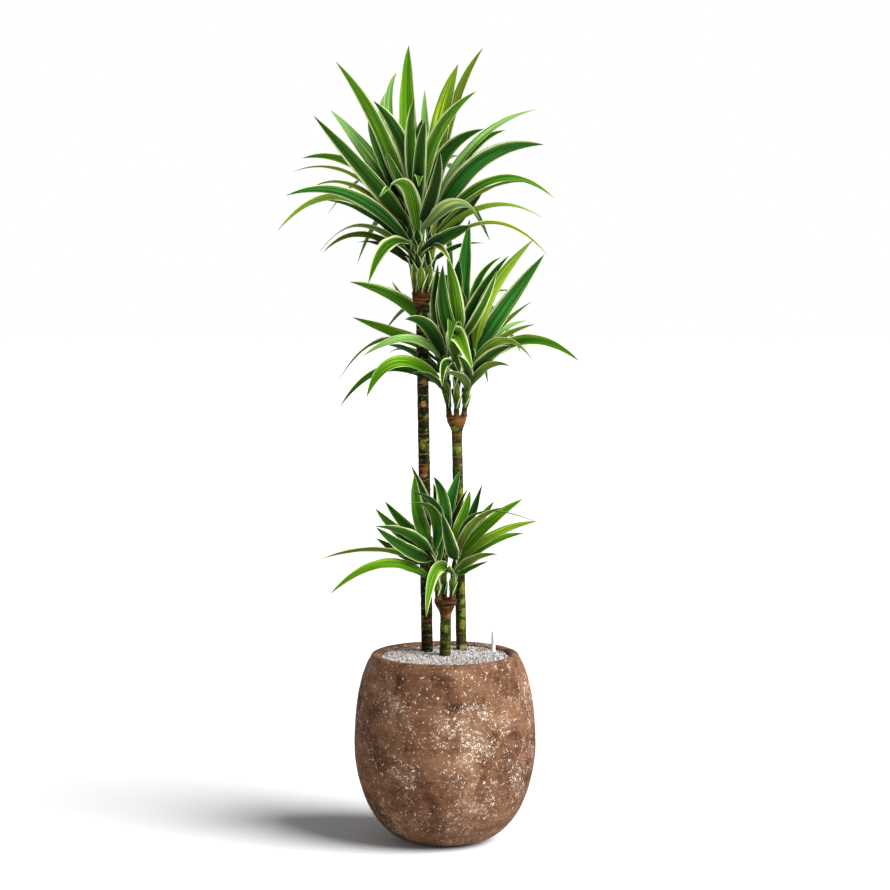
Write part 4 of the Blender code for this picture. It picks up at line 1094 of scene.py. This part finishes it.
def place_leaves():
    """Give every leaf a place clear of the other shoots and, if it can, of its own rosette."""
    canes = tree([[circle(cane_point(cane, z), CANES[cane][3], CANE_SIDES)
                   for z in (GRAVEL_TOP, CANES[cane][1].z)] for cane in CANES])
    stems = {shoot: tree([stem_rings(shoot, 0.0, 1.0, 0.001), sheath_rings(shoot)]) for shoot in SHOOTS}
    placed = {shoot: [] for shoot in SHOOTS}
    blades = {}
    free_parts = {}
    entries = [(shoot, "front", row) for shoot in SHOOTS for row in LEAVES[shoot]]
    entries += [(shoot, "back", index) for shoot in SHOOTS for index in range(BACK_LEAVES[shoot][0])]
    for shoot, kind, entry in entries:
        others = [stems[other] for other in SHOOTS if other != shoot] + [canes]
        others += [blades[other] for other in blades if other != shoot]
        second_best = None
        chosen = None
        for leaf in choices(shoot, kind, entry):
            probe = tree([leaf_rings(leaf, 0.0, LEAF_CLEARANCE)])
            if any(probe.overlap(other) for other in others):
                continue
            free = tree([leaf_rings(leaf, FREE_PART, LEAF_CLEARANCE)])
            if shoot not in free_parts or not free.overlap(free_parts[shoot]):
                chosen = leaf
                break
            second_best = second_best or leaf
        leaf = chosen or second_best
        if leaf is None:
            print("no room for", shoot, kind, entry)
            continue
        leaf["look"] = look_of(shoot, kind, entry)
        placed[shoot].append(leaf)
        blades[shoot] = tree([leaf_rings(other) for other in placed[shoot]])
        free_parts[shoot] = tree([leaf_rings(other, FREE_PART) for other in placed[shoot]])
    return placed


def varied(colour, chance):
    """The same colour, a little lighter or darker."""
    level = chance.uniform(1.12, 1.56)
    return tuple(level * channel for channel in colour)


def look_of(shoot, kind, entry):
    """The leaf's letter for its colour, then its mark for its margins."""
    if kind == "front":
        return LOOKS[shoot].split()[LEAVES[shoot].index(entry)]
    looks = BACK_LOOKS.split()
    return looks[entry % len(looks)]


def edge_margins(look, leaf, chance):
    """How broad the cream margin is on the blade's two sides, as a share of half its width."""
    thin, broad = chance.uniform(0.08, 0.13), chance.uniform(0.20, 0.32)
    left = broad if look[1] in "(=" else thin
    right = broad if look[1] in ")=" else thin
    _, ahead, side, _ = leaf_axes(leaf, 0.5)
    side_is_left = side.dot(Vector((-ahead.z, 0.0, ahead.x))) > 0
    return (right, left) if side_is_left else (left, right)


def clasping_ring(centre, out, side, radius, half_angle, thickness):
    """A ring of points round the part of a leaf that wraps its stem: (inner face, then outer face)."""
    inner, outer = [], []
    for i in range(ACROSS + 1):
        angle = half_angle * (2 * i / ACROSS - 1)
        away = out * math.cos(angle) + side * math.sin(angle)
        base = centre + away * radius - out * radius
        inner.append(base - away * thickness / 2)
        outer.append(base + away * thickness / 2)
    return inner + outer[-2:0:-1]


def blade_ring(leaf, t, wave, twist):
    """A ring of points round the free blade: (upper face, then lower face)."""
    centre, ahead, side, _ = leaf_axes(leaf, t)
    side = Matrix.Rotation(math.radians(twist * t * t), 3, ahead) @ side
    normal = side.cross(ahead).normalized()
    half_width = max(leaf_half_width(leaf["width"], t), 0.00025)
    fold = LEAF_FOLD * (1 - 0.35 * t)
    thickness = BLADE_THICKNESS * (1 - 0.55 * t)
    upper, lower = [], []
    for i in range(ACROSS + 1):
        x = 2 * i / ACROSS - 1
        ripple = wave[0] * abs(x) ** 3 * smoothstep(0.1, 0.3, t) * (1 - t)
        ripple *= math.sin(wave[1] * t + wave[2] + 2 * x)
        drop = fold * half_width * (1 - abs(x) ** 1.35) - ripple
        base = centre + side * half_width * x - normal * drop
        rind = thickness * (1 - 0.75 * x * x) / 2
        upper.append(base + normal * rind)
        lower.append(base - normal * rind)
    return upper + lower[-2:0:-1]


def leaf_skin(shoot, leaf, chance):
    """All rings of one leaf with how far along each lies: its clasping foot, then its blade to the tip."""
    foot = leaf_spine(leaf)[0]
    axis = stem_point(shoot, stem_share(shoot, foot.z))
    out = Vector((foot.x - axis.x, foot.y - axis.y, 0.0)).normalized()
    side = out.cross(Vector((0, 0, 1)))
    wave = (leaf["width"] * chance.uniform(0.02, 0.09), chance.uniform(14, 30), chance.uniform(0, 6))
    twist = chance.uniform(-22, 22)
    rings, steps = [], []
    for k in range(CLASP_RINGS):
        rise = k / CLASP_RINGS
        height = foot.z - CLASP_LENGTH * (1 - rise)
        share = stem_share(shoot, height)
        radius = stem_radius(share) + 0.0010 + 0.0009 * rise
        centre = stem_point(shoot, share) + out * radius
        half_angle = math.radians(150 - 75 * smoothstep(0.0, 1.0, rise))
        rings.append(clasping_ring(centre, out, side, radius, half_angle, CLASP_WALL))
        steps.append(-0.06 * (1 - rise))
    foot_radius = stem_radius(stem_share(shoot, foot.z)) + 0.0019
    for k in range(BLADE_RINGS):
        t = (k / (BLADE_RINGS - 1)) ** 0.92
        free = blade_ring(leaf, t, wave, twist)
        loose = smoothstep(0.0, 0.11, t)
        if loose < 1.0:
            centre = bezier(leaf_spine(leaf), t) + out * 0.0012 * (1 - loose)
            wrapped = clasping_ring(centre, out, side, foot_radius, math.radians(75), CLASP_WALL)
            free = [a.lerp(b, loose) for a, b in zip(wrapped, free)]
        rings.append(free)
        steps.append(t)
    return rings, steps


def bract_skin(shoot, height, length, flare, azimuth):
    """All rings of one short leaf base: it clasps the stem low down and stands off it at its point."""
    out = Vector((math.cos(azimuth), math.sin(azimuth), 0.0))
    side = out.cross(Vector((0, 0, 1)))
    rings, steps = [], []
    for k in range(BRACT_RINGS + 1):
        t = k / BRACT_RINGS
        share = stem_share(shoot, height + length * t)
        radius = stem_radius(share) + 0.0012 + flare * t ** 1.3
        half_angle = math.radians(3 + 92 * (1 - t) ** 0.75)
        centre = stem_point(shoot, share) + out * radius
        rings.append(clasping_ring(centre, out, side, radius, half_angle, CLASP_WALL))
        steps.append(0.03 + 0.9 * t)
    return rings, steps


def striped_piece(name, shoot, skins, striped):
    """Several leaves as one piece, each with its own tint, margins and strip of the map."""
    sides = 2 * ACROSS
    vertices, faces, blade_uv, strip_uv, tints, edges = [], [], [], [], [], []
    for index, (rings, steps, tint, edge) in enumerate(skins):
        start = len(vertices)
        vertices += [point for ring in rings for point in ring]
        for row in range(len(rings) - 1):
            for i in range(sides):
                j = (i + 1) % sides
                low, high = start + row * sides, start + (row + 1) * sides
                faces.append((low + i, low + j, high + j, high + i))
                upper = 1.0 if i < ACROSS else 0.0
                a, b = (i, i + 1) if upper else (sides - i, sides - i - 1)
                lane = (2 * index + (0.5 if upper else 1.5)) / (2 * len(skins))
                for x, t in ((a, steps[row]), (b, steps[row]), (b, steps[row + 1]), (a, steps[row + 1])):
                    blade_uv += [x / ACROSS, t]
                    strip_uv += [lane + 0.84 * (x / ACROSS - 0.5) / (2 * len(skins)),
                                 0.01 + 0.98 * (t + 0.06) / 1.06]
                    tints += [*tint, upper]
                    edges += [*edge, 1.0]
        for ring_start, turned in ((start, True), (start + (len(rings) - 1) * sides, False)):
            cap = tuple(range(ring_start, ring_start + sides))
            faces.append(cap[::-1] if turned else cap)
            end = steps[0] if turned else steps[-1]
            for _ in range(sides):
                blade_uv += [0.5, end]
                strip_uv += [(2 * index + 0.5) / (2 * len(skins)), 0.01 + 0.98 * (end + 0.06) / 1.06]
                tints += [*tint, 1.0]
                edges += [*edge, 1.0]
    mesh = add_piece(name, vertices, faces, striped, "leaf", f"{shoot}_leaves").data
    for layer, values in (("blade", blade_uv), ("OFBake", strip_uv)):
        mesh.uv_layers.new(name=layer).data.foreach_set("uv", values)
    for layer, values in (("tint", tints), ("edge", edges)):
        mesh.color_attributes.new(layer, "FLOAT_COLOR", "CORNER").data.foreach_set("color", values)


def build_rosette(shoot, leaves, striped):
    """The leaves of one shoot, a few to a piece, and the leaf bases below them."""
    chance = random.Random(sum(ord(letter) for letter in shoot))
    skins = []
    for leaf in leaves:
        rings, steps = leaf_skin(shoot, leaf, chance)
        tint = varied(LEAF_COLOURS[leaf["look"][0]], chance)
        skins.append((rings, steps, tint, (*edge_margins(leaf["look"], leaf, chance), chance.random())))
    pieces = math.ceil(len(skins) / LEAVES_PER_PIECE)
    for number in range(pieces):
        striped_piece(f"{shoot}_blades_{number + 1}", shoot, skins[number::pieces], striped)

    cane = shoot.split("_")[0]
    count, start, length, flare = BRACTS[cane]
    low = stem_point(shoot, 0.0).z + BARE_STEM[cane] - start
    high = stem_point(shoot, 1.0).z - length
    skins = []
    for index in range(count):
        height = low + (high - low) * index / count
        size = length * chance.uniform(0.8, 1.2)
        rings, steps = bract_skin(shoot, height, size, flare * chance.uniform(0.5, 1.2), 2.4 * index)
        tint = varied(LEAF_COLOURS[BRACT_COLOURS[index % len(BRACT_COLOURS)]], chance)
        skins.append((rings, steps, tint, (0.22, 0.22, chance.random())))
    striped_piece(f"{shoot}_bracts", shoot, skins, striped)


def gauge_piece(name, outline, made, slot, node):
    rings = [circle(GAUGE_PLACE + Vector((0, 0, height)), radius, 32) for radius, height in outline]
    vertices, faces = solid_of_rings(rings)
    piece = add_piece(name, vertices, faces, made, slot, node)
    piece.data.set_sharp_from_angle(angle=math.radians(40))


def build_gauge():
    tube_top = GAUGE_CAP_BOTTOM - GAP
    outline = [(GAUGE_RADIUS, 0.30), (GAUGE_RADIUS, tube_top - 0.0012), (GAUGE_RADIUS - 0.0003, tube_top),
               (GAUGE_BORE, tube_top), (GAUGE_BORE, 0.31)]
    gauge_piece("gauge_sleeve", outline, plastic_material("gauge_white", (0.80, 0.79, 0.75), 0.4),
                "gauge_white", "gauge_tube")
    dome = GAUGE_TOP - GAUGE_RADIUS
    outline = [(GAUGE_BORE * 0.2, dome), (GAUGE_BORE * 0.85, dome - 0.0006), (GAUGE_BORE, dome - 0.002),
               (GAUGE_BORE, GAUGE_CAP_BOTTOM), (GAUGE_RADIUS - 0.0003, GAUGE_CAP_BOTTOM),
               (GAUGE_RADIUS, GAUGE_CAP_BOTTOM + 0.0005)]
    outline += [(GAUGE_RADIUS * math.cos(math.radians(a)), dome + GAUGE_RADIUS * math.sin(math.radians(a)))
                for a in range(0, 85, 12)]
    gauge_piece("gauge_window", outline, plastic_material("gauge_clear", (0.92, 0.92, 0.92), 0.35, 0.1),
                "gauge_clear", "gauge_cap")


# Scene

def build_stage():
    bpy.ops.mesh.primitive_plane_add(size=30.0, location=(0.0, 0.0, 0.0))
    floor = bpy.context.active_object
    floor.name = "floor"
    made, shader, place = material("floor_white", 0.9, 0.0)
    cloud = grain(place, 0.7, 2.0)
    paint(shader, ramp(cloud, (0.0, (0.73, 0.73, 0.73)), (1.0, (0.76, 0.76, 0.76))))
    floor.data.materials.append(made)

    world = bpy.data.worlds.new("studio")
    bpy.context.scene.world = world
    world.use_nodes = True
    tree = world.node_tree
    upwards = add(tree, "SeparateXYZ", {"Vector": add(tree, "TexCoord").outputs["Generated"]}).outputs["Z"]
    sky = ramp(upwards, (0.21, (1.0, 1.0, 1.0)), (0.40, (0.18, 0.18, 0.18)))
    tree.links.new(sky, tree.nodes["Background"].inputs["Color"])


def add_sun(name, strength, softness, towards):
    light = bpy.data.lights.new(name, "SUN")
    light.energy = strength
    light.angle = math.radians(softness)
    lamp = bpy.data.objects.new(name, light)
    lamp.rotation_euler = (-Vector(towards)).to_track_quat("-Z", "Y").to_euler()
    bpy.context.scene.collection.objects.link(lamp)


def build_camera():
    camera = bpy.data.cameras.new("camera")
    camera.lens = 120.0
    camera.sensor_width = 36.0
    eye = bpy.data.objects.new("camera", camera)
    eye.location = Vector((0.0, -5.9333, 1.4283))
    eye.rotation_euler = (Vector((0.0, 0.0, 0.807)) - eye.location).to_track_quat("-Z", "Y").to_euler()
    bpy.context.scene.collection.objects.link(eye)
    bpy.context.scene.camera = eye


def dress_hidden_nodes():
    """The CAD nodes that stay: the fill inside the pot and the gauge's rod."""
    for node, made in (("potting_substrate", earth_material("potting_mix", rgb(34, 24, 18), rgb(74, 54, 40))),
                       ("root_ball", earth_material("rooted_mix", rgb(48, 34, 22), rgb(104, 78, 52))),
                       ("gauge_float_rod", plastic_material("gauge_rod", rgb(206, 206, 200), 0.5))):
        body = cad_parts[node].data
        body.materials.clear()
        body.materials.append(made)


def main():
    build_camera()
    build_stage()
    add_sun("key", 7.4, 44, (0.80, -0.42, 0.72))
    build_pot()
    build_gravel()
    build_gauge()
    bark = bark_material()
    for cane in CANES:
        build_cane(cane, bark)
    skin, striped = sleeve_material(), leaf_material()
    for shoot, leaves in place_leaves().items():
        build_stem(shoot, bark)
        build_sleeve(shoot, skin)
        build_rosette(shoot, leaves, striped)
    dress_hidden_nodes()
    scene = bpy.context.scene
    scene.view_settings.view_transform = "Standard"


main()
